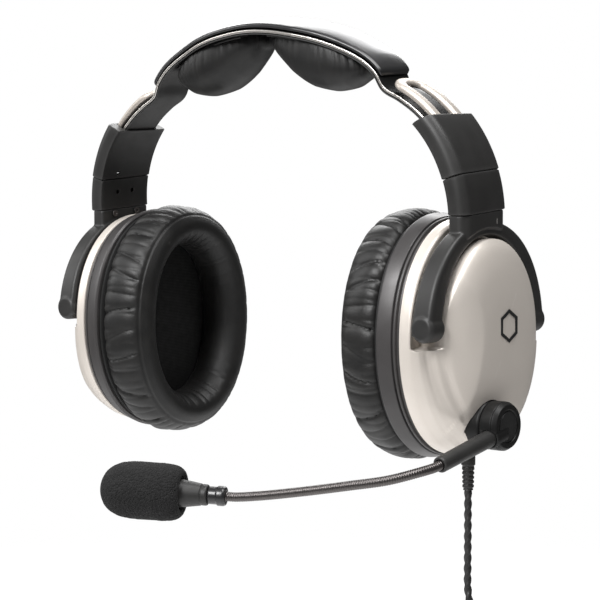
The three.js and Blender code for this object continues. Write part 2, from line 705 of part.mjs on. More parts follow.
place('strain_relief', strainRelief(), MATTE_BLACK);
const cordTube = (from, to, steps) => tube([onCord(from), onCord(to)], CORD.radius, steps, 8);

place('cord_drop', cordTube(CORD.top, COIL_TOP + GAP, 10), MATTE_BLACK);
place('cord_coil', coil(), MATTE_BLACK);
place('cord_tie', cordTie(), MATTE_BLACK);
place('cord_tail', cordTube(COIL_BOTTOM - GAP, PLUG_TOP + GAP, 4), MATTE_BLACK);
place('plug_boot', plugBoot(), MATTE_BLACK);
place('plug_barrel', plugBarrel(), STEEL);
place('plug_insert', plugInsert(), MATTE_BLACK);

export default headset;
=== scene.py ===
import json
import math

import bpy
import numpy as np
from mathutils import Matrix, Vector


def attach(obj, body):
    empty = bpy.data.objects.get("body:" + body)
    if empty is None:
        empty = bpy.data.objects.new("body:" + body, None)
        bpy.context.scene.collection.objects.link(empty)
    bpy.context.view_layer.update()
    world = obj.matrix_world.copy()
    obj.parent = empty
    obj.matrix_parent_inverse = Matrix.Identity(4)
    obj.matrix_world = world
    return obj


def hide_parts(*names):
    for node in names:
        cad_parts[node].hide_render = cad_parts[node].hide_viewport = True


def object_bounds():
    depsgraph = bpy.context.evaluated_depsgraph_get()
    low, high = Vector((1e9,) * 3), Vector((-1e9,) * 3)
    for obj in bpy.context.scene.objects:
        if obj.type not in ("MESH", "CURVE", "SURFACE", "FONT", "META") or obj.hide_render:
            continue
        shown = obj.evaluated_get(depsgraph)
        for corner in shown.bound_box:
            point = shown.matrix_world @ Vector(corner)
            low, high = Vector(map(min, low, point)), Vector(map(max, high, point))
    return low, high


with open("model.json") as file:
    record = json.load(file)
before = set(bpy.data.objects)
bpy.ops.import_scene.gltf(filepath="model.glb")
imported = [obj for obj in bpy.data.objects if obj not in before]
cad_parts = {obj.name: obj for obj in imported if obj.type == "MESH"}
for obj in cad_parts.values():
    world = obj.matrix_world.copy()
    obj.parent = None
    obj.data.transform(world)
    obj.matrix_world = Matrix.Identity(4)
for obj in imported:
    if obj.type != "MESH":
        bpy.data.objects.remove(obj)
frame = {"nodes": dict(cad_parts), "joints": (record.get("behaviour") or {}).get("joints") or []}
CAD_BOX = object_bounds()

# Pieces are drawn in millimetres with heights measured from the axis that the ear cups tilt on,
# and `to_row` takes those points into the row frame, in metres.

JOINTS = {joint["name"]: joint for joint in frame["joints"]}
PIVOT_X, CUP_Y, TILT_Z = (1000 * value for value in JOINTS["left_tilt"]["pos_m"])
SWIVEL_X = 1000 * JOINTS["left_swivel"]["pos_m"][0]
SWIVEL_AXIS = JOINTS["left_swivel"]["axis"]
LEAN = math.atan2(-SWIVEL_AXIS[1], SWIVEL_AXIS[2])   # how far the headband leans forward
CUP = np.array([CUP_Y, -6.0])          # middle of an ear cup, y and z
OVAL_POWER = 2.1
GAP = 0.3

SLIDE = np.array([50.0, 48.0])         # centre of the size slider's arc, x and z
STRAP = {"radius": 56.9, "half": 10.4, "end": 21.5}
SLEEVE = {"inner": 54.4, "outer": 63.7, "half": 17.0, "top": 43.0, "seam": 16.2}
SLOT = {"inner": 55.2, "shoulder": 58.4, "outer": 62.7, "half": 11.5, "rail_half": 10.6}
RAIL = {"radius": 60.9, "width": 5.2, "thick": 2.8, "spread": 7.4, "bend": 62, "reach": 5.25}
NECK = {"inner": 104.3, "outer": 113.5, "half": 15.8, "top": 48.0}
ARCH = {"inner": 103.4, "outer": 112.2, "low": (34.0, 44.0), "high": (43.6, 50.2)}
EYE_RADIUS = 5.9
BOOM = np.array([-3.9, -42.1])         # boom axis, y and z
KNOB = {"inner": 119.8, "thick": 8.2, "radius": 10.5}
ARM_RADIUS = 3.7
ARM = np.array([[123.9, -10.8, -46.2], [123.9, -48.1, -53.7]])
GOOSENECK_RADIUS = 1.95
MIC_BASE = np.array([44.3, -89.1, -69.8])
MIC_DIRECTION = np.array([-0.886, -0.464, 0.033])
CORD = {"x": 101.4, "y": 4.5, "top": -72.8, "radius": 1.75, "length": 1.5}
COIL = {"z": -158.5, "radii": (23.5, 20.0, 16.5), "planes": (-5.25, -1.75, 1.75, 5.25)}
COIL_TURNS, COIL_ENTRY, COIL_EXIT = 11, -113.0, -197.0
STRAIN_RELIEF_TOP = -46.8
PLUG_TOP = -205.0
DOWN = np.array([0.0, 0.0, -1.0])
SIDES = (("left", 1), ("right", -1))


def to_row(points):
    return (np.asarray(points, float) + np.array([0, 0, TILT_Z])) / 1000


def add_object(name, data):
    obj = bpy.data.objects.new(name, data)
    bpy.context.scene.collection.objects.link(obj)
    return obj


def look_from(obj, place, aim):
    """Puts a camera or a light at a place and turns it towards another."""
    obj.location = place
    obj.rotation_mode = "QUATERNION"
    obj.rotation_quaternion = (Vector(aim) - Vector(place)).to_track_quat("-Z", "Y")


# ------------------------ camera

VIEW_AZIMUTH = math.radians(40)
VIEW_ELEVATION = math.radians(3.62)
VIEW_DISTANCE = 0.881
VIEW_LENS = 112.4
VIEW_TARGET = Vector(to_row([0, 11.5, 5.5]))


def make_camera():
    data = bpy.data.cameras.new("camera")
    data.lens = VIEW_LENS
    data.sensor_width = 36
    camera = add_object("camera", data)
    back = Vector((
        math.sin(VIEW_AZIMUTH) * math.cos(VIEW_ELEVATION),
        -math.cos(VIEW_AZIMUTH) * math.cos(VIEW_ELEVATION),
        math.sin(VIEW_ELEVATION),
    ))
    look_from(camera, VIEW_TARGET + VIEW_DISTANCE * back, VIEW_TARGET)
    bpy.context.scene.camera = camera


make_camera()


# ------------------------ materials

class Shader:
    """A Principled material with a few short ways to add texture nodes in the object's own space."""

    def __init__(self, name, **settings):
        self.material = bpy.data.materials.new(name)
        self.material.use_nodes = True
        self.tree = self.material.node_tree
        self.surface = self.tree.nodes["Principled BSDF"]
        self.place = self.tree.nodes.new("ShaderNodeTexCoord").outputs["Object"]
        self.normal = None
        for key, value in settings.items():
            self.surface.inputs[key.replace("_", " ")].default_value = value

    def node(self, kind, inputs=None, **settings):
        made = self.tree.nodes.new(kind)
        for key, value in settings.items():
            setattr(made, key, value)
        for key, value in (inputs or {}).items():
            if isinstance(value, bpy.types.NodeSocket):
                self.tree.links.new(value, made.inputs[key])
            else:
                made.inputs[key].default_value = value
        return made

    def stretched(self, scale):
        return self.node("ShaderNodeMapping", {"Vector": self.place, "Scale": scale}).outputs["Vector"]

    def noise(self, scale, detail=3.0, stretch=None):
        where = self.stretched(stretch) if stretch else self.place
        made = self.node("ShaderNodeTexNoise", {"Vector": where, "Scale": scale, "Detail": detail})
        return made.outputs["Fac"]

    def cells(self, scale, feature="F1"):
        made = self.node(
            "ShaderNodeTexVoronoi", {"Vector": self.place, "Scale": scale}, feature=feature)
        return made.outputs["Distance"]

    def ranged(self, value, low, high, start=0.3, end=0.7):
        made = self.node("ShaderNodeMapRange", {
            "Value": value, "From Min": start, "From Max": end, "To Min": low, "To Max": high,
        })
        return made.outputs["Result"]

    def mixed(self, share, first, second):
        made = self.node("ShaderNodeMix", {"Factor": share, "A": first, "B": second}, data_type="RGBA")
        return made.outputs[2]   # the colour result

    def bump(self, height, depth, strength):
        """Adds a bump of `depth` millimetres for a height that runs from 0 to 1."""
        inputs = {"Height": height, "Distance": depth / 1000, "Strength": strength}
        if self.normal is not None:
            inputs["Normal"] = self.normal
        self.normal = self.node("ShaderNodeBump", inputs).outputs["Normal"]
        self.tree.links.new(self.normal, self.surface.inputs["Normal"])

    def grain(self, scale, detail, depth, strength):
        self.bump(self.noise(scale, detail), depth, strength)

    def colour(self, socket):
        self.tree.links.new(socket, self.surface.inputs["Base Color"])

    def roughness(self, socket):
        self.tree.links.new(socket, self.surface.inputs["Roughness"])

    def patchy_roughness(self, scale, low, high):
        self.roughness(self.ranged(self.noise(scale), low, high))

    def worn_edges(self, colour, edge_colour, amount=0.5):
        """Edges rub a little paler than the faces beside them."""
        point = self.node("ShaderNodeNewGeometry").outputs["Pointiness"]
        share = self.ranged(point, 0, amount, 0.505, 0.56)
        return self.mixed(share, colour, edge_colour)


def rgba(red, green, blue):
    return (red, green, blue, 1)


def toned(shader, first, second, scale):
    return shader.mixed(shader.ranged(shader.noise(scale), 0, 1), first, second)


def painted_champagne():
    shader = Shader("champagne_paint", Metallic=0.3, IOR=1.5, Coat_Weight=0.15, Coat_Roughness=0.25)
    base = toned(shader, rgba(0.70, 0.64, 0.58), rgba(0.74, 0.68, 0.62), 35)
    flakes = shader.ranged(shader.cells(5200), 0, 0.35, 0.15, 0.6)
    base = shader.mixed(flakes, base, rgba(0.80, 0.745, 0.685))
    shader.colour(shader.worn_edges(base, rgba(0.82, 0.77, 0.72), 0.35))
    shader.patchy_roughness(240, 0.38, 0.45)
    shader.grain(2600, 2, 0.012, 0.5)
    shader.grain(150, 2, 0.03, 0.25)
    return shader.material


def satin_metal(name, first, second, rough, streak=(1, 60, 60), metallic=0.92):
    """Brushed metal: `streak` stretches its noise into lines along the object's X."""
    shader = Shader(name, Metallic=metallic)
    streaks = shader.noise(55, 4, stretch=streak)
    base = shader.mixed(shader.ranged(streaks, 0, 1), first, second)
    shader.colour(shader.worn_edges(base, tuple(min(1, 1.15 * c) for c in second[:3]) + (1,), 0.5))
    shader.roughness(shader.ranged(streaks, rough, rough + 0.1))
    shader.bump(streaks, 0.008, 0.25)
    return shader.material


def gloss_black():
    shader = Shader("gloss_black_lacquer", Coat_Weight=0.35, Coat_Roughness=0.2)
    shader.colour(toned(shader, rgba(0.010, 0.010, 0.011), rgba(0.016, 0.016, 0.017), 60))
    shader.patchy_roughness(90, 0.30, 0.38)
    shader.grain(420, 2, 0.01, 0.3)
    return shader.material


def moulded(name, first, second, rough, metallic=0.0, specular=0.5):
    """Moulded plastic with a fine spark texture."""
    shader = Shader(name, Metallic=metallic, Specular_IOR_Level=specular)
    base = toned(shader, first, second, 70)
    edge_colour = tuple(channel + 0.03 for channel in second[:3]) + (1,)
    shader.colour(shader.worn_edges(base, edge_colour, 0.5))
    shader.patchy_roughness(130, rough, rough + 0.08)
    shader.grain(2300, 3, 0.03, 0.35)
    shader.grain(420, 2, 0.02, 0.2)
    return shader.material


def leather():
    shader = Shader("black_leather", Sheen_Weight=0.03, Sheen_Roughness=0.4, IOR=1.45)
    base = toned(shader, rgba(0.006, 0.006, 0.006), rgba(0.012, 0.0115, 0.011), 120)
    creases = shader.ranged(shader.cells(950, "DISTANCE_TO_EDGE"), 0.0, 1.0, 0.0, 0.12)
    shader.colour(shader.worn_edges(base, rgba(0.035, 0.033, 0.032), 0.6))
    shader.patchy_roughness(45, 0.40, 0.52)
    shader.bump(creases, 0.05, 0.4)
    shader.grain(1900, 4, 0.03, 0.35)
    shader.grain(260, 3, 0.12, 0.35)
    return shader.material


def foam():
    shader = Shader("open_cell_foam")
    base = toned(shader, rgba(0.004, 0.004, 0.004), rgba(0.010, 0.0098, 0.010), 800)
    pores = shader.ranged(shader.cells(1100), 0.0, 1.0, 0.15, 0.6)
    shader.colour(shader.mixed(shader.ranged(pores, 0.5, 0.0, 0.0, 0.6), base, rgba(0.018, 0.018, 0.0185)))
    shader.patchy_roughness(700, 0.88, 1.0)
    shader.bump(pores, 0.5, 0.8)
    shader.grain(2600, 3, 0.2, 0.5)
    return shader.material


def woven():
    """Acoustic cloth: two sets of threads that cross. Its colour is the cloth's own black made darker still,
    as painted shade for the deep inside of the ear cup; the cord's tie shares it.
    """
    shader = Shader("acoustic_cloth")
    threads = []
    for axis in ("Y", "Z"):
        wave = shader.node(
            "ShaderNodeTexWave", {"Vector": shader.place, "Scale": 420.0, "Distortion": 0.4},
            wave_type="BANDS", bands_direction=axis,
        )
        threads.append(wave.outputs["Fac"])
    cross = shader.node("ShaderNodeMath", {0: threads[0], 1: threads[1]}, operation="MULTIPLY")
    # Near-zero thread colours: black cloth plus painted shade for the inside of the cup.
    shader.colour(shader.mixed(cross.outputs[0], rgba(0.0008, 0.0008, 0.0008), rgba(0.003, 0.003, 0.003)))
    shader.patchy_roughness(300, 0.8, 0.95)
    shader.bump(cross.outputs[0], 0.2, 0.7)
    return shader.material


def board_green():
    shader = Shader("solder_mask", Coat_Weight=0.3)
    traces = shader.node(
        "ShaderNodeTexBrick", {"Vector": shader.place, "Scale": 160.0, "Mortar Size": 0.03},
    ).outputs["Fac"]
    shader.colour(shader.mixed(traces, rgba(0.01, 0.09, 0.04), rgba(0.03, 0.2, 0.09)))
    shader.patchy_roughness(300, 0.35, 0.5)
    shader.bump(traces, 0.04, 0.5)
    return shader.material


def rubber():
    shader = Shader("cord_rubber")
    shader.colour(toned(shader, rgba(0.012, 0.012, 0.012), rgba(0.022, 0.021, 0.021), 150))
    shader.patchy_roughness(210, 0.42, 0.55)
    shader.grain(2800, 3, 0.03, 0.4)
    return shader.material


CHAMPAGNE = painted_champagne()
RAIL_METAL = satin_metal(
    "satin_champagne", rgba(0.50, 0.455, 0.41), rgba(0.56, 0.51, 0.46), 0.40, (1, 6, 6), 0.5)
STEEL = satin_metal("bright_steel", rgba(0.62, 0.60, 0.57), rgba(0.75, 0.73, 0.70), 0.20)
BAND_STEEL = satin_metal("band_edge_steel", rgba(0.78, 0.74, 0.69), rgba(0.86, 0.83, 0.79), 0.24)
GUNMETAL = satin_metal("gunmetal", rgba(0.085, 0.078, 0.076), rgba(0.13, 0.12, 0.117), 0.30)
GLOSS = gloss_black()
MATTE = moulded("matte_black_plastic", rgba(0.014, 0.0136, 0.0132), rgba(0.021, 0.0204, 0.0198), 0.44)
NEAR_BLACK = moulded(
    "black_plastic", rgba(0.004, 0.004, 0.004), rgba(0.007, 0.007, 0.007), 0.40, specular=0.22)
SATIN_GREY = moulded("satin_grey_plastic", rgba(0.050, 0.047, 0.047), rgba(0.062, 0.058, 0.058), 0.36, 0.25)
LEATHER = leather()
FOAM = foam()
CLOTH = woven()
BOARD = board_green()
RUBBER = rubber()


# ------------------------ meshes

def unit(vector):
    return np.asarray(vector, float) / np.linalg.norm(vector)


def make_mesh(name, points, faces):
    mesh = bpy.data.meshes.new(name)
    mesh.from_pydata(to_row(points).tolist(), [], faces)
    mesh.validate()
    return add_object(name, mesh)


def points_of(mesh):
    points = np.zeros(len(mesh.vertices) * 3)
    mesh.vertices.foreach_get("co", points)
    return points.reshape(-1, 3)


def move_points(mesh, points):
    mesh.vertices.foreach_set("co", np.asarray(points, float).ravel())


def face_outwards(mesh):
    """Turns every face outwards: the volume of the whole mesh comes out positive."""
    points = points_of(mesh)
    mesh.calc_loop_triangles()
    corners = np.zeros(len(mesh.loop_triangles) * 3, int)
    mesh.loop_triangles.foreach_get("vertices", corners)
    first, second, third = points[corners.reshape(-1, 3)].transpose(1, 0, 2)
    if np.einsum("ij,ij->i", first, np.cross(second, third)).sum() < 0:
        mesh.flip_normals()


def settle(obj, body, materials, nodes=(), sharp=38):
    """Finishes a piece: outward faces, smooth shading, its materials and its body."""
    face_outwards(obj.data)
    obj.data.polygons.foreach_set("use_smooth", [True] * len(obj.data.polygons))
    obj.data.set_sharp_from_angle(angle=math.radians(sharp))
    if not isinstance(materials, (list, tuple)):
        materials = [materials]
    obj.data.materials.clear()
    for material in materials:
        obj.data.materials.append(material)
    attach(obj, body)
    if nodes:
        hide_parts(*nodes)
    return obj


def skin(rings, looped=False):
    """Points and faces over a row of rings. An open row gets a fan over each end."""
    rings = np.asarray(rings, float)
    count, sides = rings.shape[:2]
    points = [rings.reshape(-1, 3)]
    index = np.arange(count * sides).reshape(count, sides)
    nearer = index if looped else index[:-1]
    further = np.roll(index, -1, axis=0) if looped else index[1:]
    quads = np.stack([
        nearer, np.roll(nearer, -1, axis=1), np.roll(further, -1, axis=1), further,
    ], axis=-1).reshape(-1, 4)
    faces = quads.tolist()
    if not looped:
        for row, flip in ((0, True), (count - 1, False)):
            centre = count * sides + (0 if row == 0 else 1)
            points.append(rings[row].mean(axis=0)[None])
            ring = index[row].tolist()
            for j, here in enumerate(ring):
                after = ring[(j + 1) % sides]
                faces.append([centre, after, here] if flip else [centre, here, after])
    return np.concatenate(points), faces


def solid(name, rings, looped=False):
    return make_mesh(name, *skin(rings, looped))


def rounded(outline, radius, closed=False, steps=4):
    """A polyline with its corners turned into short curves."""
    outline = np.asarray(outline, float)
    count = len(outline)
    made = []
    for i, point in enumerate(outline):
        if not closed and i in (0, count - 1):
            made.append(point)
            continue
        before = outline[i - 1] - point
        after = outline[(i + 1) % count] - point
        start = point + unit(before) * min(radius, 0.45 * np.linalg.norm(before))
        end = point + unit(after) * min(radius, 0.45 * np.linalg.norm(after))
        for t in np.linspace(0, 1, steps + 1):
            made.append((1 - t) ** 2 * start + 2 * t * (1 - t) * point + t * t * end)
    return np.array(made)


def spline(points, per_span=16, closed=False):
    """A smooth curve through the points, as a centripetal Catmull-Rom spline."""
    points = np.asarray(points, float)
    if closed:
        padded = np.vstack([points[-1:], points, points[:2]])
    else:
        padded = np.vstack([2 * points[:1] - points[1:2], points, 2 * points[-1:] - points[-2:-1]])
    made = []
    for i in range(1, len(padded) - 2):
        four = padded[i - 1:i + 3]
        gaps = np.maximum(np.linalg.norm(np.diff(four, axis=0), axis=1) ** 0.5, 1e-6)
        knots = np.concatenate([[0], np.cumsum(gaps)])
        for t in np.linspace(knots[1], knots[2], per_span, endpoint=False):
            level = list(four)
            for starts, span in (((0, 1, 2), 1), ((0, 1), 2), ((1,), 1)):
                level = [
                    ((knots[k + span] - t) * level[n] + (t - knots[k]) * level[n + 1])
                    / (knots[k + span] - knots[k])
                    for n, k in enumerate(starts)
                ]
            made.append(level[0])
    if not closed:
        made.append(points[-1])
    return np.array(made)


def lengths_along(points):
    return np.concatenate([[0], np.cumsum(np.linalg.norm(np.diff(points, axis=0), axis=1))])


def resampled(points, count):
    along = lengths_along(points)
    wanted = np.linspace(0, along[-1], count)
    return np.stack([np.interp(wanted, along, points[:, k]) for k in range(3)], axis=1)


def smoothstep(value, low, high):
    t = np.clip((np.asarray(value, float) - low) / (high - low), 0, 1)
    return t * t * (3 - 2 * t)


def around(count):
    """Evenly spaced angles round one full turn."""
    return np.linspace(0, 2 * np.pi, count, endpoint=False)


def axes_across(direction):
    side = unit(np.cross(direction, [0, 0, 1] if abs(direction[2]) < 0.9 else [1, 0, 0]))
    return side, np.cross(direction, side)


def turned_rings(profile, start, direction, sides):
    direction = unit(direction)
    side, up = axes_across(direction)
    angles = around(sides)
    round_ = np.outer(np.cos(angles), side) + np.outer(np.sin(angles), up)
    return np.array([np.asarray(start) + direction * s + round_ * r for r, s in profile])


def turned(name, profile, start, direction, sides=64, soften=0.35):
    """A turned solid. The profile's points are (radius, distance), and both ends are closed."""
    outline = rounded(profile, soften)
    return solid(name, turned_rings(outline, start, direction, sides))


def turning(*shape):
    return lambda name: turned(name, *shape)


def turned_piece(node, body, slot, material, *shape):
    """A turned solid that stands for the CAD node of the same name."""
    return settle(turned(f"{node}_fine", *shape), body, material, [node])


def ribs(count, first, pitch, radius, growth, rib):
    """A profile's row of ribs. Each point of `rib` is (radius, distance) from the rib's own start."""
    return [[radius + growth * k + out, first + pitch * k + on] for k in range(count) for out, on in rib]


def swept_rings(path, radius_at, sides):
    """Rings about a path, carried along it without twisting."""
    path = np.asarray(path)
    tangents = np.gradient(path, axis=0)
    tangents /= np.linalg.norm(tangents, axis=1)[:, None]
    side = axes_across(tangents[0])[0]
    angles = around(sides)
    rings = []
    for i, (point, tangent) in enumerate(zip(path, tangents)):
        side = unit(side - tangent * side.dot(tangent))
        up = np.cross(tangent, side)
        radius = radius_at(i, angles)[:, None]
        rings.append(point + radius * (np.outer(np.cos(angles), side) + np.outer(np.sin(angles), up)))
    return np.array(rings)


def leaned(obj):
    """Leans a piece forward with the headband, about the line across the slider arcs' centres."""
    pivot = to_row([0, 0, SLIDE[1]])
    x, y, z = (points_of(obj.data) - pivot).T
    turned_y = y * math.cos(LEAN) - z * math.sin(LEAN)
    turned_z = y * math.sin(LEAN) + z * math.cos(LEAN)
    move_points(obj.data, np.column_stack([x, turned_y, turned_z]) + pivot)
    return obj


def leaning(build):
    return lambda name: leaned(build(name))


def modified(obj):
    """The object with its modifiers applied to its mesh."""
    graph = bpy.context.evaluated_depsgraph_get()
    mesh = bpy.data.meshes.new_from_object(obj.evaluated_get(graph))
    obj.modifiers.clear()
    obj.data = mesh
    return obj


def fused(name, solids, voxel, smoothing):
    """Several overlapping closed skins as one moulded solid with soft inner corners."""
    points, faces, start = [], [], 0
    for solid_points, solid_faces in solids:
        points.append(solid_points)
        faces += [[corner + start for corner in face] for face in solid_faces]
        start += len(solid_points)
    obj = make_mesh(name, np.concatenate(points), faces)
    remesh = obj.modifiers.new("remesh", "REMESH")
    remesh.mode = "VOXEL"
    remesh.voxel_size = voxel / 1000
    smooth = obj.modifiers.new("smooth", "SMOOTH")
    smooth.factor = 0.5
    smooth.iterations = smoothing
    return modified(obj)


def combined(obj, others, operation):
    """The object with the others joined to it or taken out of it. The others go."""
    for other in others:
        boolean = obj.modifiers.new("combine", "BOOLEAN")
        boolean.operation = operation
        boolean.solver = "EXACT"
        boolean.object = other
        face_outwards(other.data)
    face_outwards(obj.data)
    modified(obj)
    for other in others:
        bpy.data.objects.remove(other)
    return obj


def carved(obj, cutters):
    return combined(obj, cutters, "DIFFERENCE")


def pair(name, build, body, material, sharp=38):
    """The left piece and its mirror image, each standing for the CAD node of the same name."""
    left = build(f"{name}_left_fine")
    mesh = left.data.copy()
    move_points(mesh, points_of(mesh) * [-1, 1, 1])
    right = add_object(f"{name}_right_fine", mesh)
    for side, obj in (("left", left), ("right", right)):
        whole_body = body if body == "headband" else f"{side}_{body}"
        settle(obj, whole_body, material, [f"{name}_{side}"], sharp)
    return left, right


# ------------------------ cord, coil and plug

def cord_route():
    """Straight down out of the strain relief, into eleven turns of coil and back under its middle."""
    x, y, radii = CORD["x"], CORD["y"], COIL["radii"]
    order = [*radii, *radii[::-1]] * 2
    join, shift = 40, 60   # degrees wound past whole turns at each end, and to cross to the next turn
    whole = COIL_TURNS * 360 + 2 * join
    wound = []
    for swept in np.arange(0, whole + 1, 6.0):
        turn = int(swept // 360)
        slide = smoothstep(swept - 360 * turn, 360 - shift, 360)
        after = min(turn + 1, len(order) - 1)
        radius = order[turn] + (order[after] - order[turn]) * slide
        here, there = COIL["planes"][turn // 3], COIL["planes"][after // 3]
        plane = here + (there - here) * slide
        angle = math.radians(join - swept)
        wound.append([x + radius * math.cos(angle), y + plane, COIL["z"] + radius * math.sin(angle)])
    wound = np.array(wound)

    def bend(start, heading, end, arrival, reach):
        a, d = np.array(start), np.array(end)
        b, c = a + reach * unit(heading), d - reach * unit(arrival)
        t = np.linspace(0, 1, 16)[:, None]
        return (1 - t) ** 3 * a + 3 * t * (1 - t) ** 2 * b + 3 * t * t * (1 - t) * c + t ** 3 * d

    start, leave = [x, y, COIL_ENTRY], [x, y, COIL_EXIT]
    drop = np.array([[x, y, z] for z in np.linspace(CORD["top"], start[2], 9)])
    lead = bend(start, DOWN, wound[0], wound[1] - wound[0], 13)
    tail = bend(wound[-1], wound[-1] - wound[-2], leave, DOWN, 10)
    end = np.array([[x, y, z] for z in (-199.5, -202.3, PLUG_TOP + 0.2)])
    return np.vstack([drop[:-1], lead[:-1], wound, tail[1:], end])


def make_cord():
    """Two strands twisted together, one full turn every 9.5 mm."""
    route = cord_route()
    step, lay = 0.8, 9.5
    path = resampled(route, int(lengths_along(route)[-1] / step))
    twist = 2 * np.pi * np.arange(len(path)) * step / lay

    def two_strands(i, angles):
        return 1.22 + 0.53 * np.abs(np.cos(angles - twist[i])) ** 1.2

    obj = solid("cord", swept_rings(path, two_strands, 14))
    settle(obj, "left_cup", RUBBER, ["cord_drop", "cord_coil", "cord_tail"], sharp=80)
    return obj, route


def along_cord(z):
    return np.array([CORD["x"], CORD["y"], z])


def make_strain_relief():
    grip = ribs(5, 16.2, 1.9, 2.72, -0.05, [(0, 0), (0, 1.0), (-0.45, 1.15), (-0.45, 1.75)])
    profile = [[2.6, 0], [2.6, 10.6], [3.1, 11.2], [3.1, 15], [2.5, 15.4], *grip, [2.2, 26]]
    return turned_piece(
        "strain_relief", "left_cup", "matte_black", MATTE,
        profile, along_cord(STRAIN_RELIEF_TOP), DOWN, 48, 0.25)


def make_tie():
    """A cloth strap wrapped once round the turns of the coil."""
    reach = np.array([7.2, 8.9])
    middle = [CORD["x"] - 20, CORD["y"]]
    outer = rounded(np.array([[-1, -1], [1, -1], [1, 1], [-1, 1]]) * reach, 3, closed=True, steps=6)
    inner = outer * (1 - 1.0 / reach.mean())
    walls = [(-4, outer * 0.975), (-3.7, outer), (3.7, outer), (4, outer * 0.975)]
    walls += [(height, inner) for height in (4, 3.7, -3.7, -4)]
    rings = [
        np.column_stack([middle + loop, np.full(len(loop), COIL["z"] + height)])
        for height, loop in walls
    ]
    obj = solid("cord_tie_fine", rings, looped=True)
    return settle(obj, "left_cup", CLOTH, ["cord_tie"])


def make_plug():
    boot_ribs = ribs(6, 1.5, 2.4, 2.6, 0.3, [(0, 0), (0.1, 1.3), (-0.4, 1.5), (-0.3, 2.2)])
    boot = turned_piece(
        "plug_boot", "left_cup", "matte_black", RUBBER,
        [[2.3, 0], *boot_ribs, [4.9, 17], [5.6, 19], [5.6, 22]], along_cord(PLUG_TOP), DOWN, 48, 0.3)
    barrel_ribs = ribs(7, 4, 1.6, 6.6, 0, [(0, 0), (0, 0.9), (-0.4, 1.05), (-0.4, 1.45)])
    barrel = turned_piece(
        "plug_barrel", "left_cup", "steel", STEEL,
        [[6.2, 0], [6.6, 0.6], *barrel_ribs, [6.6, 20], [4.9, 20], [4.9, 30], [4.2, 30], [4.2, 23]],
        along_cord(PLUG_TOP - 22.3), DOWN, 72, 0.15)
    insert = turned_piece(
        "plug_insert", "left_cup", "matte_black", NEAR_BLACK,
        [[3.9, 0], [3.9, 4.5]], along_cord(PLUG_TOP - 45.7), DOWN, 40, 0.3)
    pins = []
    for k in range(6):
        angle = math.radians(60 * k + 30)
        start = along_cord(PLUG_TOP - 50) + 2.5 * np.array([math.cos(angle), math.sin(angle), 0])
        pin = turned(f"plug_pin_{k + 1}", [[0.45, 0], [0.45, 1.3], [0.2, 1.7]], start, DOWN, 16, 0.15)
        pins.append(settle(pin, "left_cup", STEEL))
    return [boot, barrel, insert, *pins]


cord, cord_path = make_cord()
strain_relief = make_strain_relief()
cord_tie = make_tie()
plug_pieces = make_plug()


# ------------------------ headband

def on_slide(radius, degrees, y):
    """Points on the size slider's arc, which the strap, the rails and the sleeves all follow."""
    angle = np.radians(degrees)
    return np.stack(np.broadcast_arrays(
        SLIDE[0] + np.asarray(radius) * np.cos(angle), np.asarray(y, float),
        SLIDE[1] + np.asarray(radius) * np.sin(angle)), axis=-1)


# The band's line from near its middle down to the strap's end, as x and z.
BAND_HALF = [
    [30, 126.4], [49, 119.8], [59.5, 114.2], [65.4, 108.8], [69.3, 102.4],
    *on_slide(STRAP["radius"], [61, 51, 41, 31, STRAP["end"]], 0)[:, [0, 2]],
]
BAND_POINTS = [
    *[[-x, 0, z] for x, z in reversed(BAND_HALF)], [0, 0, 130.4], *[[x, 0, z] for x, z in BAND_HALF],
]
BAND_LINE = resampled(spline(BAND_POINTS, 40), 1201)
BAND_TANGENTS = np.gradient(BAND_LINE, axis=0)
BAND_TANGENTS /= np.linalg.norm(BAND_TANGENTS, axis=1)[:, None]
# Half the width, and how much higher the middle is than the edges, by distance from the middle.
BAND_WIDTH = np.array([
    [0, 18], [24, 17.6], [34, 15.8], [45, 13.4], [55, 12], [62, 11.2], [69, 10.6], [75, STRAP["half"]],
])
BAND_RISE = np.array([[0, 2.6], [28, 2.3], [45, 1.6], [60, 0.8], [68, 0]])


def bar_outline(half_width, low, high, radius, across=20):
    """The section of a flat strip: long top and bottom runs joined by rounded edges."""
    radius = min(radius, 0.49 * (high - low))
    runs = np.linspace(-half_width + radius, half_width - radius, across)
    quarter = np.linspace(0, np.pi / 2, 5)[1:-1]
    top = [[y, high] for y in runs]
    bottom = [[y, low] for y in runs[::-1]]
    side = half_width - radius
    right = [[side + radius * math.sin(a), high - radius + radius * math.cos(a)] for a in quarter]
    right += [[half_width, high - radius], [half_width, low + radius]]
    right += [[side + radius * math.cos(a), low + radius - radius * math.sin(a)] for a in quarter]
    left = [[-y, low + high - h] for y, h in right]
    return np.array(top + right + bottom + left)


def band_layer(name, x_from, x_to, low, high, trim=0.0, share=1.0, radius=0.4, stations=220, taper=0.0):
    """One strip of the headband between two distances from the middle, arched across its width."""
    first = int(np.argmin(np.abs(BAND_LINE[:, 0] - x_from)))
    last = int(np.argmin(np.abs(BAND_LINE[:, 0] - x_to)))
    places = np.unique(np.linspace(first, last, stations).astype(int))
    run = lengths_along(BAND_LINE)
    rings = []
    for place in places:
        centre, along = BAND_LINE[place], BAND_TANGENTS[place]
        outward = np.array([-along[2], 0, along[0]])
        half = np.interp(abs(centre[0]), *BAND_WIDTH.T)
        rise = np.interp(abs(centre[0]), *BAND_RISE.T)
        to_end = min(run[place] - run[first], run[last] - run[place])
        ease = 1 if taper == 0 else math.sqrt(max(1 - (1 - min(to_end / taper, 1)) ** 2, 0.02))
        top = low + (high - low) * ease
        outline = bar_outline(half * share - trim - taper * (1 - ease) * 0.5, low, top, radius)
        arched = outline[:, 1] + rise * (1 - (outline[:, 0] / half) ** 2)
        rings.append(centre + np.outer(arched, outward) + np.outer(outline[:, 0], [0, 1, 0]))
    return leaned(solid(name, rings))


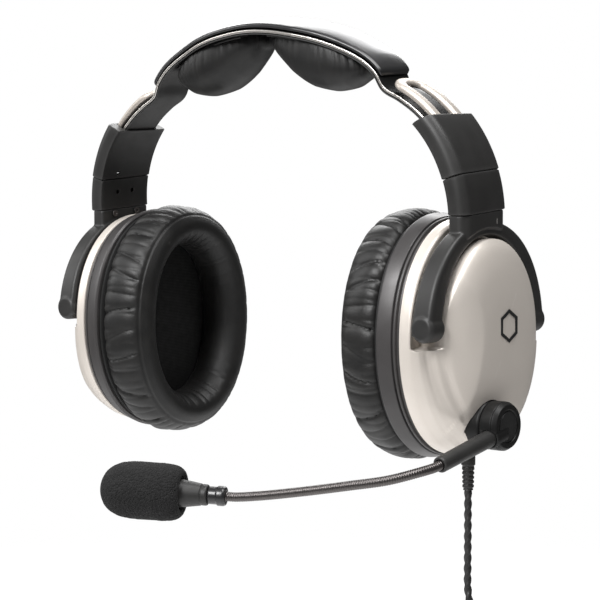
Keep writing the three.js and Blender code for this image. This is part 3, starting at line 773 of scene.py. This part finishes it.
def make_band():
    cover = band_layer("band_cover_fine", -66.5, 66.5, 1.5, 3.5, trim=0.2, radius=1.0, taper=2.2)
    settle(cover, "headband", GLOSS, ["band_cover"])
    end = STRAP["radius"] * math.cos(math.radians(STRAP["end"])) + SLIDE[0]
    spring = band_layer("spring_band_fine", -end, end, -0.45, 0.8, radius=0.3, stations=320)
    settle(spring, "headband", [BAND_STEEL, NEAR_BLACK], ["spring_band"])
    for face in spring.data.polygons:
        face.material_index = 1 if abs(face.normal.y) < 0.5 else 0
    liner = band_layer("band_liner_fine", -end, end, -1.45, -0.85, trim=0.1, radius=0.25, stations=320)
    settle(liner, "headband", MATTE, ["band_liner"])


def make_pad_base(name):
    return band_layer(name, 8, 54, -3.2, -2.15, share=0.8, stations=60)


PAD = {"middle": 29.8, "half_length": 28.6, "half_width": 15.0, "plan_power": 2.15, "power": 2.4}
# Height of the pad's lowest line by distance from the middle.
PAD_CROWN = np.array([
    [4, 116.5], [8, 113.0], [16, 108.2], [27, 103.8], [38, 101.2], [47, 100.6], [54, 102.4], [58.5, 105.0],
])


def under_band(x, y, clear):
    """Heights at a distance below the band's own line, following its arch."""
    half = BAND_LINE[600:]
    slope = np.interp(x, half[:, 0], BAND_TANGENTS[600:, 0])
    rise = np.interp(x, *BAND_RISE.T) * (1 - (y / np.interp(x, *BAND_WIDTH.T)) ** 2)
    return np.interp(x, half[:, 0], half[:, 2]) + (rise - clear) / slope


def gathers(angle, seed, count, sharpness):
    """A puckered edge: 0 in each pleat's valley and 1 on the crown of the puff beside it."""
    random = np.random.default_rng(seed)
    valleys = np.sort((np.arange(count) + random.uniform(-0.32, 0.32, count)) / count * 2 * np.pi)
    valleys = np.concatenate([valleys - 2 * np.pi, valleys, valleys + 2 * np.pi])
    depth = np.tile(random.uniform(0.35, 1.0, count), 3)
    after = np.searchsorted(valleys, angle)
    share = (angle - valleys[after - 1]) / (valleys[after] - valleys[after - 1])
    puff = (4 * share * (1 - share)) ** sharpness
    level = depth[after - 1] * (1 - share) + depth[after] * share
    return 1 - level * (1 - puff)


def powered(value, power):
    """A sine or cosine bent so that the circle becomes a squarer oval."""
    return np.sign(value) * np.abs(value) ** (2 / power)


def make_head_pad(name):
    """A crowned leather pad, gathered where it is drawn in round its upper edge."""
    angles = around(300)
    long = PAD["half_length"] * powered(np.cos(angles), PAD["plan_power"])
    wide = PAD["half_width"] * powered(np.sin(angles), PAD["plan_power"])
    pleats = gathers(angles, 11, 36, 0.55)
    fine = gathers(angles, 12, 61, 0.7)
    # Each ring is its spread in plan, its drop from band to crown, and its clearance under the band.
    rings = [(spread, 0.0, 3.5) for spread in (0.15, 0.45, 0.7, 0.85)]
    rings += [(0.885, 0.0, 3.2), (0.90, 0.0, 2.2)]
    for turn in np.linspace(0, 1, 52):
        if turn < 0.3:
            rise = turn / 0.3
            rings.append((0.91 + 0.09 * math.sin(rise * math.pi / 2) ** 0.8, 0.32 * rise ** 1.3, 1.75))
        else:
            lean = (turn - 0.3) / 0.7 * math.pi / 2
            spread = max(math.cos(lean), 1e-3) ** (2 / PAD["power"])
            rings.append((spread, 0.32 + 0.68 * math.sin(lean), 1.75))
    made = []
    for spread, drop, clear in rings:
        pull = (1 - float(smoothstep(drop, 0.02, 0.75))) * float(smoothstep(spread, 0.88, 0.93))
        tight = 0.055 * pull * (1 - pleats) + 0.016 * pull * (1 - fine)
        x = PAD["middle"] + long * (spread - tight * PAD["half_width"] / PAD["half_length"])
        y = wide * (spread - tight)
        top = under_band(x, y, clear)
        crown = np.interp(x, *PAD_CROWN.T)
        lifted = 0.3 * (1 - smoothstep(x, 6, 26)) * (y / PAD["half_width"]) ** 2
        made.append(np.column_stack([x, y, top + (crown - top) * drop * (1 - lifted)]))
    return solid(name, made)


def make_rail(name):
    """A hairpin of rounded bar on the slider's arc."""
    prong = np.linspace(STRAP["end"], RAIL["bend"], 40)
    turn = np.linspace(0, math.pi, 30)[1:-1]
    path = [(d, -RAIL["spread"]) for d in prong]
    path += [(RAIL["bend"] + RAIL["reach"] * math.sin(t), -RAIL["spread"] * math.cos(t)) for t in turn]
    path += [(d, RAIL["spread"]) for d in prong[::-1]]
    spots = on_slide(RAIL["radius"], *np.array(path).T)
    tangents = np.gradient(spots, axis=0)
    section = bar_outline(RAIL["width"] / 2, -RAIL["thick"] / 2, RAIL["thick"] / 2, 1.15, across=5)
    across, height = section.T
    crowned = height + 0.35 * (1 - (across / (RAIL["width"] / 2)) ** 2) * (height > 0)
    rings = []
    for spot, tangent in zip(spots, tangents):
        outward = unit([spot[0] - SLIDE[0], 0, spot[2] - SLIDE[1]])
        sideways = unit(np.cross(unit(tangent), outward))
        rings.append(spot + np.outer(across, sideways) + np.outer(crowned, outward))
    return solid(name, rings)


make_band()
pair("pad_base", make_pad_base, "headband", MATTE)
head_pads = pair("head_pad", leaning(make_head_pad), "headband", LEATHER, sharp=80)
pair("size_rail", leaning(make_rail), "headband", RAIL_METAL)


# ------------------------ size sliders

def loop_of(corners, radius, count=72):
    """A closed rounded outline of (radius, y), evenly spaced and starting at its inner middle."""
    outline = rounded(corners, radius, closed=True, steps=6)
    outline = np.vstack([outline, outline[:1]])
    along = lengths_along(outline)
    wanted = np.linspace(0, along[-1], count, endpoint=False)
    return np.column_stack([np.interp(wanted, along, outline[:, k]) for k in range(2)])


def sleeve_section(half, grow=0.0):
    inner, outer, round_ = SLEEVE["inner"] - grow, SLEEVE["outer"] + grow, 2.8
    half = half + grow
    return [
        [inner, 0], [inner, -half], [outer - round_, -half], [outer, -half + round_],
        [outer, 0], [outer, half - round_], [outer - round_, half], [inner, half],
    ]


SLOT_SECTION = [
    [SLOT["inner"], 0], [SLOT["inner"], -SLOT["half"]], [SLOT["shoulder"], -SLOT["half"]],
    [SLOT["shoulder"], -SLOT["rail_half"]], [SLOT["outer"], -SLOT["rail_half"]],
    [SLOT["outer"], 0], [SLOT["outer"], SLOT["rail_half"]], [SLOT["shoulder"], SLOT["rail_half"]],
    [SLOT["shoulder"], SLOT["half"]], [SLOT["inner"], SLOT["half"]],
]


def sleeve_rings(start, end, half, floor=None, level=0.0):
    """A curved sleeve with softened mouths. With a floor it is closed at its lower end.

    `level` is how many degrees a millimetre the upper mouth is cut nearer to level."""
    outer = loop_of(sleeve_section(half), 1.6)
    chamfer = loop_of(sleeve_section(half, -0.35), 1.6)
    slot = loop_of(SLOT_SECTION, 0.4)
    edge = 0.3
    stations = [(chamfer, start), (outer, start + edge)]
    stations += [(outer, d) for d in np.linspace(start + edge, end - edge, 26)[1:-1]]
    stations += [(outer, end - edge), (chamfer, end), (slot, end)]
    low = start if floor is None else floor
    stations += [(slot, d) for d in np.linspace(end, low, 12)[1:]]
    rings = []
    for loop, degrees in stations:
        radius, y = loop.T
        near_mouth = level * float(smoothstep(degrees, end - 12, end))
        rings.append(on_slide(radius, degrees + near_mouth * (60 - radius - 0.15 * y), y))
    return rings


def screw_hole(degrees, y):
    start = on_slide(SLEEVE["inner"] - 1, degrees, y)
    end = on_slide(SLOT["inner"] + 0.5, degrees, y)
    return turned("hole", [[1.2, 0], [1.2, 2.3]], start, end - start, 24)


def make_upper_sleeve(name):
    rings = sleeve_rings(SLEEVE["seam"], SLEEVE["top"], SLEEVE["half"], level=0.35)
    return carved(solid(name, rings, looped=True), [screw_hole(SLEEVE["seam"] + 3, -6)])


def make_middle_sleeve(name):
    rings = sleeve_rings(0.1, SLEEVE["seam"] - 0.3, SLEEVE["half"] - 0.4, floor=1.7)
    return carved(solid(name, rings), [screw_hole(9, y) for y in (-5, 5)])


pair("sleeve_upper", leaning(make_upper_sleeve), "slider", MATTE, sharp=30)
pair("sleeve_middle", leaning(make_middle_sleeve), "slider", MATTE, sharp=30)


# ------------------------ yokes and their pins

def oval(x, half_y, half_z, angles):
    """Points on an oval about the middle of an ear cup."""
    across = half_y * powered(np.cos(angles), OVAL_POWER)
    upward = half_z * powered(np.sin(angles), OVAL_POWER)
    return np.column_stack([np.broadcast_to(x, len(angles)), CUP[0] + across, CUP[1] + upward])


def arch_skin():
    """The arch's inner face comes closer to the cup towards the eyes, where the cup tilts least."""
    wide, deep = 8, 5.5
    section = rounded([[0, 0], [wide, 0], [wide, deep], [0, deep]], 1.6, closed=True, steps=5)
    low, high = np.array(ARCH["low"]), np.array(ARCH["high"])
    rings = []
    for angle in np.radians(np.linspace(3, 177, 120)):
        inner = ARCH["inner"] - 2.0 * (1 - math.sin(angle))
        ring = []
        for across, depth in section:
            half = low + (high - low) * depth / deep
            x = inner + (ARCH["outer"] - inner) * across / wide
            ring.append(oval(x, half[0], half[1], np.array([angle]))[0])
        rings.append(ring)
    return skin(rings)


def neck_skin():
    half, inner, outer, round_ = NECK["half"], NECK["inner"], NECK["outer"], 3.2
    corners = [
        [inner, -half], [outer - round_, -half], [outer, round_ - half],
        [outer, half - round_], [outer - round_, half], [inner, half],
    ]
    loop = loop_of(corners, 1.6, 96)
    middle = (np.array(ARCH["low"]) + np.array(ARCH["high"])) / 2 + 0.5
    reach = np.clip(np.abs(loop[:, 1] - CUP[0]) / middle[0], 0, 1)
    seat = CUP[1] + middle[1] * (1 - reach ** OVAL_POWER) ** (1 / OVAL_POWER)
    rings = []
    top = NECK["top"] + loop[:, 1] * math.tan(LEAN)
    for share in np.linspace(0, 1, 8):
        rings.append(np.column_stack([loop[:, 0], loop[:, 1], seat + (top - seat) * share]))
    return skin(rings)


def eye_skin(end):
    start = [PIVOT_X, CUP[0] + end * 33.9, 0]
    profile = [[EYE_RADIUS - 0.4, 0], [EYE_RADIUS, 0.4], [EYE_RADIUS, 8.2], [EYE_RADIUS - 1.4, 9.6]]
    return skin(turned_rings(rounded(profile, 0.8), start, [0, end, 0], 64))


def make_yoke(name):
    return fused(name, [arch_skin(), neck_skin(), eye_skin(-1), eye_skin(1)], 0.45, 5)


SWIVEL_PIN = [[2.4, 0], [2.4, 8.9], [3.3, 8.9], [3.3, 9.8]]
PIVOT_PIN = [[1.6, 0], [1.6, 10.2]]
NECK_SCREW = [[1.5, 0], [1.75, 0.3], [1.7, 0.6], [0.75, 0.6], [0.7, 0.2]]

pair("yoke", make_yoke, "fork", MATTE, sharp=50)
swivel_pin = turning(SWIVEL_PIN, [SWIVEL_X, 0, 41.3], [0, 0, 1], 40, 0.25)
pair("swivel_pin", leaning(swivel_pin), "fork", STEEL)
for word, way in (("front", -1), ("back", 1)):
    screw_y = 7.5 * way
    screw_place = [NECK["inner"] - GAP, screw_y, 46.1 + screw_y * math.tan(LEAN)]
    neck_screw = turning(NECK_SCREW, screw_place, [-1, 0, 0], 32, 0.18)
    pair(f"neck_screw_{word}", neck_screw, "fork", GUNMETAL)
    pivot_pin = turning(PIVOT_PIN, [PIVOT_X, CUP[0] + way * 41.2, 0], [0, -way, 0], 32, 0.3)
    pair(f"pivot_pin_{word}", pivot_pin, "fork", STEEL)


def make_neck_marks():
    """A short pale line let into the outboard face of each neck."""
    for side, sign in SIDES:
        rings = []
        for x in (NECK["outer"] - 0.6, NECK["outer"] + 0.08):
            corners = [[-0.3, -1.2], [0.3, -1.2], [0.3, 1.2], [-0.3, 1.2]]
            rings.append([[sign * x, 7.6 + y, 44.2 + z] for y, z in corners])
        mark = solid(f"neck_mark_{side}", rings)
        settle(mark, f"{side}_fork", STEEL)


make_neck_marks()


# ------------------------ ear cups

# Each row of these tables is one oval of the shell: its x and its half sizes in y and z.
DOME = np.array([
    [115.0, 31.6, 41.3], [116.6, 29.4, 38.6], [118.6, 23.5, 31.5], [119.7, 14.5, 21.5], [120.1, 5, 9],
    [120.15, 1.2, 2.4],
])
SHELL_INSIDE = np.array([
    [95.1, 39.6, 48.6], [98.6, 39.4, 48.4], [98.7, 30, 41.2], [111.5, 29.8, 40.5],
    [115, 25.5, 35.5], [117.3, 17, 24], [118, 5, 9],
])
# From the rim inwards: with the yoke's channel above, and as one plain dome below.
RIM_EDGE = [[95.1, 41.9, 50.9], [95.5, 42.35, 51.35], [98.5, 42.2, 51.1]]
RIM_ABOVE = np.array([
    *RIM_EDGE, [100.1, 41.95, 50.85],
    [100.9, 41.3, 50.2], [100.95, 39.4, 48.0], [100.8, 34.6, 45.0], [100.85, 33.4, 43.9],
    [101.5, 32.5, 43.05], [104, 32.35, 42.92], [109, 32.25, 42.85], [112.9, 32.1, 42.7],
    [113.8, 31.9, 42.5],
])
RIM_BELOW = np.array([
    *RIM_EDGE, [100.5, 41.75, 50.6],
    [102, 41.2, 50], [103.7, 40.6, 49.4], [105.4, 40, 48.8], [107, 39.3, 48],
    [108.7, 38.45, 47.2], [110.3, 37.45, 46.25], [111.7, 36.5, 45.3], [113, 35.35, 44.2],
    [113.9, 34.4, 43.2],
])
CHANNEL_ENDS = (-3, 183)               # where the yoke's channel stops, in degrees round the oval
SHELL_EDGE = np.array([42.4, 51.4])
# Lines on the shell's face, (y, z) from the middle of the cup.
CREASE = np.array([[-24.9, 26.4], [-17.5, 16.3], [-15.0, 3.6], [-16.1, -7.5], [-19.6, -20.6], [-24.3, -32.5]])
RIDGE = np.array([[-33.6, -1.8], [-29.8, -13.4], [-26.3, -22.6], [-20.5, -33.3], [-13.6, -41.2]])


def side_of(line, points):
    """Signed distance from a line of (y, z) points, below zero towards the front."""
    path = spline(np.column_stack([line, np.zeros(len(line))]), 14)[:, :2]
    difference = points[:, None] - path[None]
    distance = np.linalg.norm(difference, axis=2)
    nearest = distance.argmin(axis=1)
    at = np.interp(points[:, 1], path[::-1, 1], path[::-1, 0])
    return np.where(points[:, 0] < at, -1, 1) * distance[np.arange(len(points)), nearest]


def shell_rings():
    """The shell's outer ovals, its angles, and how much of each angle has the channel."""
    first, last = CHANNEL_ENDS
    close = np.linspace(-4, 4, 21)
    angles = np.concatenate([
        np.linspace(first + 4.4, last - 4.4, 150), last - close[::-1],
        np.linspace(last + 4.4, first + 360 - 4.4, 150), first + 360 + close,
    ])
    angles = np.unique(np.round(angles, 4))
    turn = np.radians(angles)
    rise = np.where(angles > 270, angles - 360, angles)
    starts = smoothstep(rise, first - 0.8, first + 0.8)
    above = starts * (1 - smoothstep(rise, last - 0.8, last + 0.8))
    lower = spline(np.vstack([RIM_BELOW, DOME]), 9)
    upper = spline(np.vstack([RIM_ABOVE, DOME]), 9)
    rings = []
    for below_point, above_point in zip(lower, upper):
        x, half_y, half_z = below_point[:, None] + np.outer(above_point - below_point, above)
        rings.append(oval(x, half_y, half_z, turn))
    return rings, turn, above


def sculpt_creases(rings, above):
    """A soft crease down the face and a lower one from under the front pivot."""
    for ring in rings:
        flat = ring[:, 1:] - CUP
        rim = ((flat / SHELL_EDGE) ** 2).sum(axis=1)
        inside = 1 - smoothstep(rim, 0.72, 0.98)
        front = side_of(CREASE, flat)
        ends = smoothstep(flat[:, 1], -46, -34) * (1 - smoothstep(flat[:, 1], 24, 36))
        slope = np.logaddexp(0, -front / 0.3) * 0.3
        ring[:, 0] -= 0.24 * slope * inside * ends
        low = side_of(RIDGE, flat)
        step = smoothstep(-low, -1.4, 1.4) * (1 - smoothstep(-low, 3, 9))
        under = 1 - smoothstep(flat[:, 1], -6, 0)
        edge = 1 - smoothstep(rim, 0.9, 1.0)
        ring[:, 0] -= 0.55 * step * under * edge * (1 - above)


def make_shell(name):
    rings, turn, above = shell_rings()
    sculpt_creases(rings, above)
    inside = [oval(x, half_y, half_z, turn) for x, half_y, half_z in SHELL_INSIDE]
    return solid(name, rings[::-1] + inside)


def boom_bore(x_from, x_to, radius):
    """A cutter along the boom's axis."""
    return turned("bore", [[radius, 0], [radius, x_to - x_from]], [x_from, *BOOM], [1, 0, 0])


def make_shells():
    """Both shells. The left one has the boom's seat sunk into it."""
    left = make_shell("cup_shell_left_fine")
    right = make_shell("cup_shell_right_fine")
    move_points(right.data, points_of(right.data) * [-1, 1, 1])
    carved(left, [boom_bore(112, 130, KNOB["radius"] + GAP)])
    for side, shell in (("left", left), ("right", right)):
        settle(shell, f"{side}_cup", CHAMPAGNE, [f"cup_shell_{side}"], sharp=35)


def make_ring(name):
    """The ring between shell and cushion: a tapering wall with a fine groove near the shell."""
    def at(x, inset=0.0):
        share = (x - 84.4) / (94.7 - 84.4)
        return [x, 45 - 2.5 * share - inset, 54 - 2.5 * share - inset]
    section = rounded([
        at(84.4, 1.2), at(85.4), at(91.6), at(91.8, 1.1), at(92.3, 1.1), at(92.5, 0.1), at(93.4, 0.1),
        at(93.6, 1.3), at(94.7, 1.3), [94.7, 39.2, 48.2], [84.4, 39.2, 48.2],
    ], 0.35, closed=True, steps=3)
    angles = around(240)
    return solid(name, [oval(*row, angles) for row in section], looped=True)


def make_baffle(name):
    """A plate across the cup's mouth, with a round hole for the driver."""
    angles = around(120)
    edge = ((82.5, 0.4), (82.8, 0), (83.7, 0), (84, 0.4))
    rings = [oval(x, 42.6 - inset, 52.4 - inset, angles) for x, inset in edge]
    hole = CUP + 19.6 * np.column_stack([np.cos(angles), np.sin(angles)])
    rings += [np.column_stack([np.full(len(hole), x), hole]) for x in (84, 82.4)]
    return solid(name, rings, looped=True)


def make_screen(name):
    """A padded cloth screen, tucked in at its edge."""
    angles = around(160)
    rings = []
    for share in np.linspace(0.03, 1, 26):
        x = 80.2 - 1.1 * (1 - share ** 2) + 0.9 * share ** 12
        rings.append(oval(x, 28.9 * share, 41.9 * share, angles))
    rings.append(oval(82, 28.2, 41.2, angles))
    return solid(name, rings)


# The cushion's section, as ovals from its back round its outer wall, its face and its throat.
CUSHION = np.array([
    [82, 40.6, 51.2], [80.6, 42.6, 53.5], [77, 43.7, 55.3], [72, 43.6, 55.4], [66, 42.2, 54.2],
    [62.5, 40.0, 52.2], [60.4, 37.2, 49.6], [58.9, 34.4, 47.0], [58.6, 31.8, 44.4], [59.8, 29.0, 41.6],
    [62.5, 26.6, 39.2], [66, 24.8, 37.3], [71, 23.7, 36.2], [76, 23.7, 36.2], [79, 25.2, 37.7],
    [79.9, 28.4, 41.0], [80.6, 30.4, 43.2], [82, 31.0, 43.9],
])


def make_cushion(name):
    """A leather ring cushion: gathered on its outer wall, smooth on its face, with a sewn edge."""
    angles = around(560)
    outline = spline(CUSHION, 8, closed=True)
    small = gathers(angles, 6, 57, 0.5)
    throat = gathers(angles, 7, 44, 0.8)
    along_wave = np.random.default_rng(8).uniform(0.55, 1.0, 9)
    swell = np.interp(angles, np.linspace(0, 2 * np.pi, 10), [*along_wave, along_wave[0]])
    ends = np.abs(np.sin(angles)) ** 3
    rings = []
    for x, half_y, half_z in outline:
        outer = half_y > 37.5
        wall = smoothstep(x, 60.8, 66) if outer else 0.0
        near_seam = 0.35 + 0.65 * float(smoothstep(abs(x - 72), 2, 9))
        slanted = angles + 0.007 * (x - 72) * np.sin(5 * angles + 1)
        big = gathers(slanted, 5, 33, 0.3)
        pull = 2.9 * wall * swell * (1 - big) + 0.9 * wall * near_seam * (1 - small)
        seam = 0.55 * math.exp(-((x - 61.6) / 0.5) ** 2) if outer else 0.0
        inner = (1 - smoothstep(x, 66, 78)) * smoothstep(x, 58.2, 61) if not outer and half_y < 33 else 0.0
        dent = 1.1 * inner * ends * (1 - throat)
        made = oval(x, half_y - seam, half_z - seam, angles)
        out = made - [x, *CUP]
        made += out / np.linalg.norm(out, axis=1)[:, None] * (dent - pull)[:, None]
        rings.append(made)
    return solid(name, rings, looped=True)


DRIVER = [[19.2, 0], [19.2, 3.5], [15, 5], [14, 5.4], [9, 9.5], [6, 9.5], [5.6, 9.1], [1.2, 9.1]]

make_shells()
pair("cup_ring", make_ring, "cup", SATIN_GREY)
pair("baffle", make_baffle, "cup", NEAR_BLACK)
pair("driver", turning(DRIVER, [82.6, *CUP], [1, 0, 0], 72, 0.4), "cup", NEAR_BLACK)
pair("ear_screen", make_screen, "cup", CLOTH)
cushions = pair("ear_cushion", make_cushion, "cup", LEATHER, sharp=80)
for side, _ in SIDES:
    board = frame["nodes"][f"circuit_board_{side}"]
    board.data.materials.clear()
    board.data.materials.append(BOARD)


def make_hexagons():
    """A plain six-sided outline on each shell's face."""
    corners = np.radians(np.arange(6) * 60 + 30)
    hexagon = np.column_stack([np.zeros(6), np.cos(corners), np.sin(corners)])
    steps = ((7.2, 119.6), (7.2, 120.35), (5.6, 120.35), (5.6, 119.6))
    rings = [radius * hexagon + [x, 7.5, -0.5] for radius, x in steps]
    for side, sign in SIDES:
        obj = solid(f"hexagon_mark_{side}", np.array(rings) * [sign, 1, 1], looped=True)
        settle(obj, f"{side}_cup", NEAR_BLACK)


make_hexagons()


# ------------------------ boom microphone

ARM_DIRECTION = unit(ARM[1] - ARM[0])
ARM_LENGTH = np.linalg.norm(ARM[1] - ARM[0])
GOOSENECK_BORE = GOOSENECK_RADIUS + GAP


def make_knob():
    """The turning disc with the arm's socket on it."""
    rim, face = KNOB["radius"], KNOB["thick"]
    disc = turned("boom_knob_fine", [
        [rim - 0.4, 0], [rim, 0.4], [rim, 5.4], [rim - 0.3, 5.6], [rim - 0.3, 5.9], [rim, 6.1],
        [rim - 1.2, face - 0.1], [7.2, face], [6.9, 7.6], [6.5, 7.6], [6.2, 8.0],
    ], [KNOB["inner"], *BOOM], [1, 0, 0], 96, 0.3)
    socket_profile = [[4.0, 0], [4.7, 0.7], [4.7, 8.6], [4.3, 9]]
    socket = turned("socket", socket_profile, ARM[0] - 7 * ARM_DIRECTION, ARM_DIRECTION, 48, 0.3)
    combined(disc, [socket], "UNION")
    bore_profile = [[ARM_RADIUS + 0.25, 0], [ARM_RADIUS + 0.25, 30]]
    bore = turned("bore", bore_profile, ARM[0] - GAP * ARM_DIRECTION, ARM_DIRECTION, 48)
    carved(disc, [bore, boom_bore(112, KNOB["inner"], 30)])
    settle(disc, "boom", NEAR_BLACK, ["boom_knob"], sharp=32)


def make_boom():
    """The base and screw that stay on the cup, and the knob, arm and gooseneck that swing."""
    rim = KNOB["radius"]
    turned_piece(
        "boom_base", "left_cup", "matte_black", NEAR_BLACK,
        [[9.6, 0], [rim, 0.5], [rim, 6.2], [rim - 0.5, 7.1], [2.6, 7.1], [2.6, 3]],
        [112.3, *BOOM], [1, 0, 0], 96, 0.35)
    turned_piece(
        "boom_screw", "left_cup", "steel", STEEL,
        [[2.4, 0], [2.8, 0.4], [2.8, 2.1], [2, 2.1], [2, 16.7], [1.7, 17]],
        [105.3, *BOOM], [1, 0, 0], 32, 0.2)
    make_knob()
    arm_profile = [
        [ARM_RADIUS - 0.4, 0], [ARM_RADIUS, 0.4], [ARM_RADIUS - 0.3, ARM_LENGTH - 0.5],
        [ARM_RADIUS - 0.7, ARM_LENGTH], [GOOSENECK_BORE, ARM_LENGTH], [GOOSENECK_BORE, ARM_LENGTH - 4],
    ]
    turned_piece("boom_arm", "boom", "matte_black", MATTE, arm_profile, ARM[0], ARM_DIRECTION, 56, 0.3)

    along = unit(MIC_DIRECTION)
    route = spline([
        ARM[1] - 3.4 * ARM_DIRECTION, ARM[1] + 3 * ARM_DIRECTION, [121.6, -58.3, -55.6],
        [112.2, -67.2, -58.8], [97, -73.9, -61.8], [76, -79.1, -65.8], [58, -83.6, -68.8],
        MIC_BASE - 4 * along, MIC_BASE + 2.2 * along,
    ], 30)
    step, pitch = 0.16, 1.0
    path = resampled(route, int(lengths_along(route)[-1] / step))

    def ribbed(i, angles):
        wave = 0.5 + 0.5 * np.cos(2 * np.pi * (i * step / pitch) + angles)
        return GOOSENECK_RADIUS + 0.08 - 0.2 * wave ** 3

    neck = solid("gooseneck_fine", swept_rings(path, ribbed, 20))
    settle(neck, "boom", GUNMETAL, ["gooseneck"], sharp=70)


def make_microphone():
    along = unit(MIC_DIRECTION)
    turned_piece(
        "mic_collar", "boom", "gloss_black", GLOSS,
        [[GOOSENECK_BORE, 2.6], [GOOSENECK_BORE, 0], [3.7, 0], [4.2, 0.9], [4.2, 3.4], [3.7, 3.9],
         [3.7, 7.0], [3.4, 7.4]],
        MIC_BASE, along, 56, 0.3)
    turned_piece(
        "mic_housing", "boom", "matte_black", MATTE,
        [[4.1, 0], [4.45, 0.4], [4.5, 2.2], [4.3, 2.4], [4.3, 2.7], [4.65, 2.9], [6.1, 12.5],
         [6.2, 19.6], [5.9, 20]],
        MIC_BASE + 7.8 * along, along, 64, 0.4)
    turned_piece(
        "mic_capsule", "boom", "steel", STEEL,
        [[4.9, 0], [4.9, 6.1], [4.5, 6.5], [3.4, 6.5], [3.3, 6.1]],
        MIC_BASE + 28.2 * along, along, 48, 0.25)
    make_windscreen(MIC_BASE + 18.4 * along, along)


def make_windscreen(start, along):
    """A foam bulb whose surface is roughened by small random moves."""
    outline = rounded([
        [6.6, 16.9], [6.6, 0.6], [9.4, 0.1], [11.5, 3], [12.1, 8], [12.1, 22], [11.3, 28], [8.6, 32.8],
        [4.5, 35.4], [0.4, 36.1],
    ], 2.6, steps=8)
    outline = spline(np.column_stack([outline, np.zeros(len(outline))]), 2)[:, :2]
    rings = turned_rings(outline, start, along, 110)
    random = np.random.default_rng(21)
    for ring, (radius, _) in zip(rings, outline):
        out = ring - ring.mean(axis=0)
        out /= np.maximum(np.linalg.norm(out, axis=1)[:, None], 1e-6)
        if radius > 7:
            ring += out * random.uniform(-0.12, 0.12, (len(ring), 1))
    screen = solid("windscreen_fine", rings)
    settle(screen, "boom", FOAM, ["windscreen"], sharp=80)


make_boom()
make_microphone()


# ------------------------ floor, world and lights

FLOOR_RADIUS = 0.9


def make_floor():
    """A pale round floor that fades into the backdrop towards its edge."""
    bpy.ops.mesh.primitive_circle_add(vertices=96, radius=FLOOR_RADIUS, fill_type="NGON")
    floor = bpy.context.object
    floor.name = "floor"
    floor.location = (0, 0, CAD_BOX[0].z - 0.012)
    shader = Shader("pale_floor", Roughness=0.9, Base_Color=rgba(0.9, 0.9, 0.9))
    distance = shader.node("ShaderNodeVectorMath", {0: shader.place}, operation="LENGTH").outputs["Value"]
    shader.tree.links.new(
        shader.ranged(distance, 1.0, 0.0, 0.1, 0.95 * FLOOR_RADIUS), shader.surface.inputs["Alpha"])
    floor.data.materials.append(shader.material)


def make_world():
    """White to look at, and a dimmer, even light on the object."""
    world = bpy.data.worlds.new("studio")
    bpy.context.scene.world = world
    world.use_nodes = True
    tree = world.node_tree
    seen = tree.nodes["Background"]
    seen.inputs["Color"].default_value = rgba(1, 1, 1)
    seen.inputs["Strength"].default_value = 1.0
    lit = tree.nodes.new("ShaderNodeBackground")
    lit.inputs["Color"].default_value = rgba(1, 0.99, 0.98)
    lit.inputs["Strength"].default_value = 0.13
    rays = tree.nodes.new("ShaderNodeLightPath")
    chosen = tree.nodes.new("ShaderNodeMixShader")
    tree.links.new(rays.outputs["Is Camera Ray"], chosen.inputs["Fac"])
    tree.links.new(lit.outputs["Background"], chosen.inputs[1])
    tree.links.new(seen.outputs["Background"], chosen.inputs[2])
    tree.links.new(chosen.outputs["Shader"], tree.nodes["World Output"].inputs["Surface"])


def soft_light(name, place, size, power, aim=(0, 0, -0.1)):
    data = bpy.data.lights.new(name, "AREA")
    data.shape = "RECTANGLE"
    data.size, data.size_y = size
    data.energy = power
    look_from(add_object(name, data), place, aim)


make_floor()
make_world()
soft_light("front_softbox", (0.05, -1.5, 0.95), (0.6, 0.8), 34)
soft_light("left_softbox", (-1.3, -0.7, 0.6), (0.5, 1.0), 8)
soft_light("back_softbox", (-0.75, 0.95, 0.75), (1.2, 0.8), 16)
soft_light("top_softbox", (0.55, -0.1, 1.3), (0.8, 0.8), 20)
bpy.context.scene.view_settings.view_transform = "Standard"
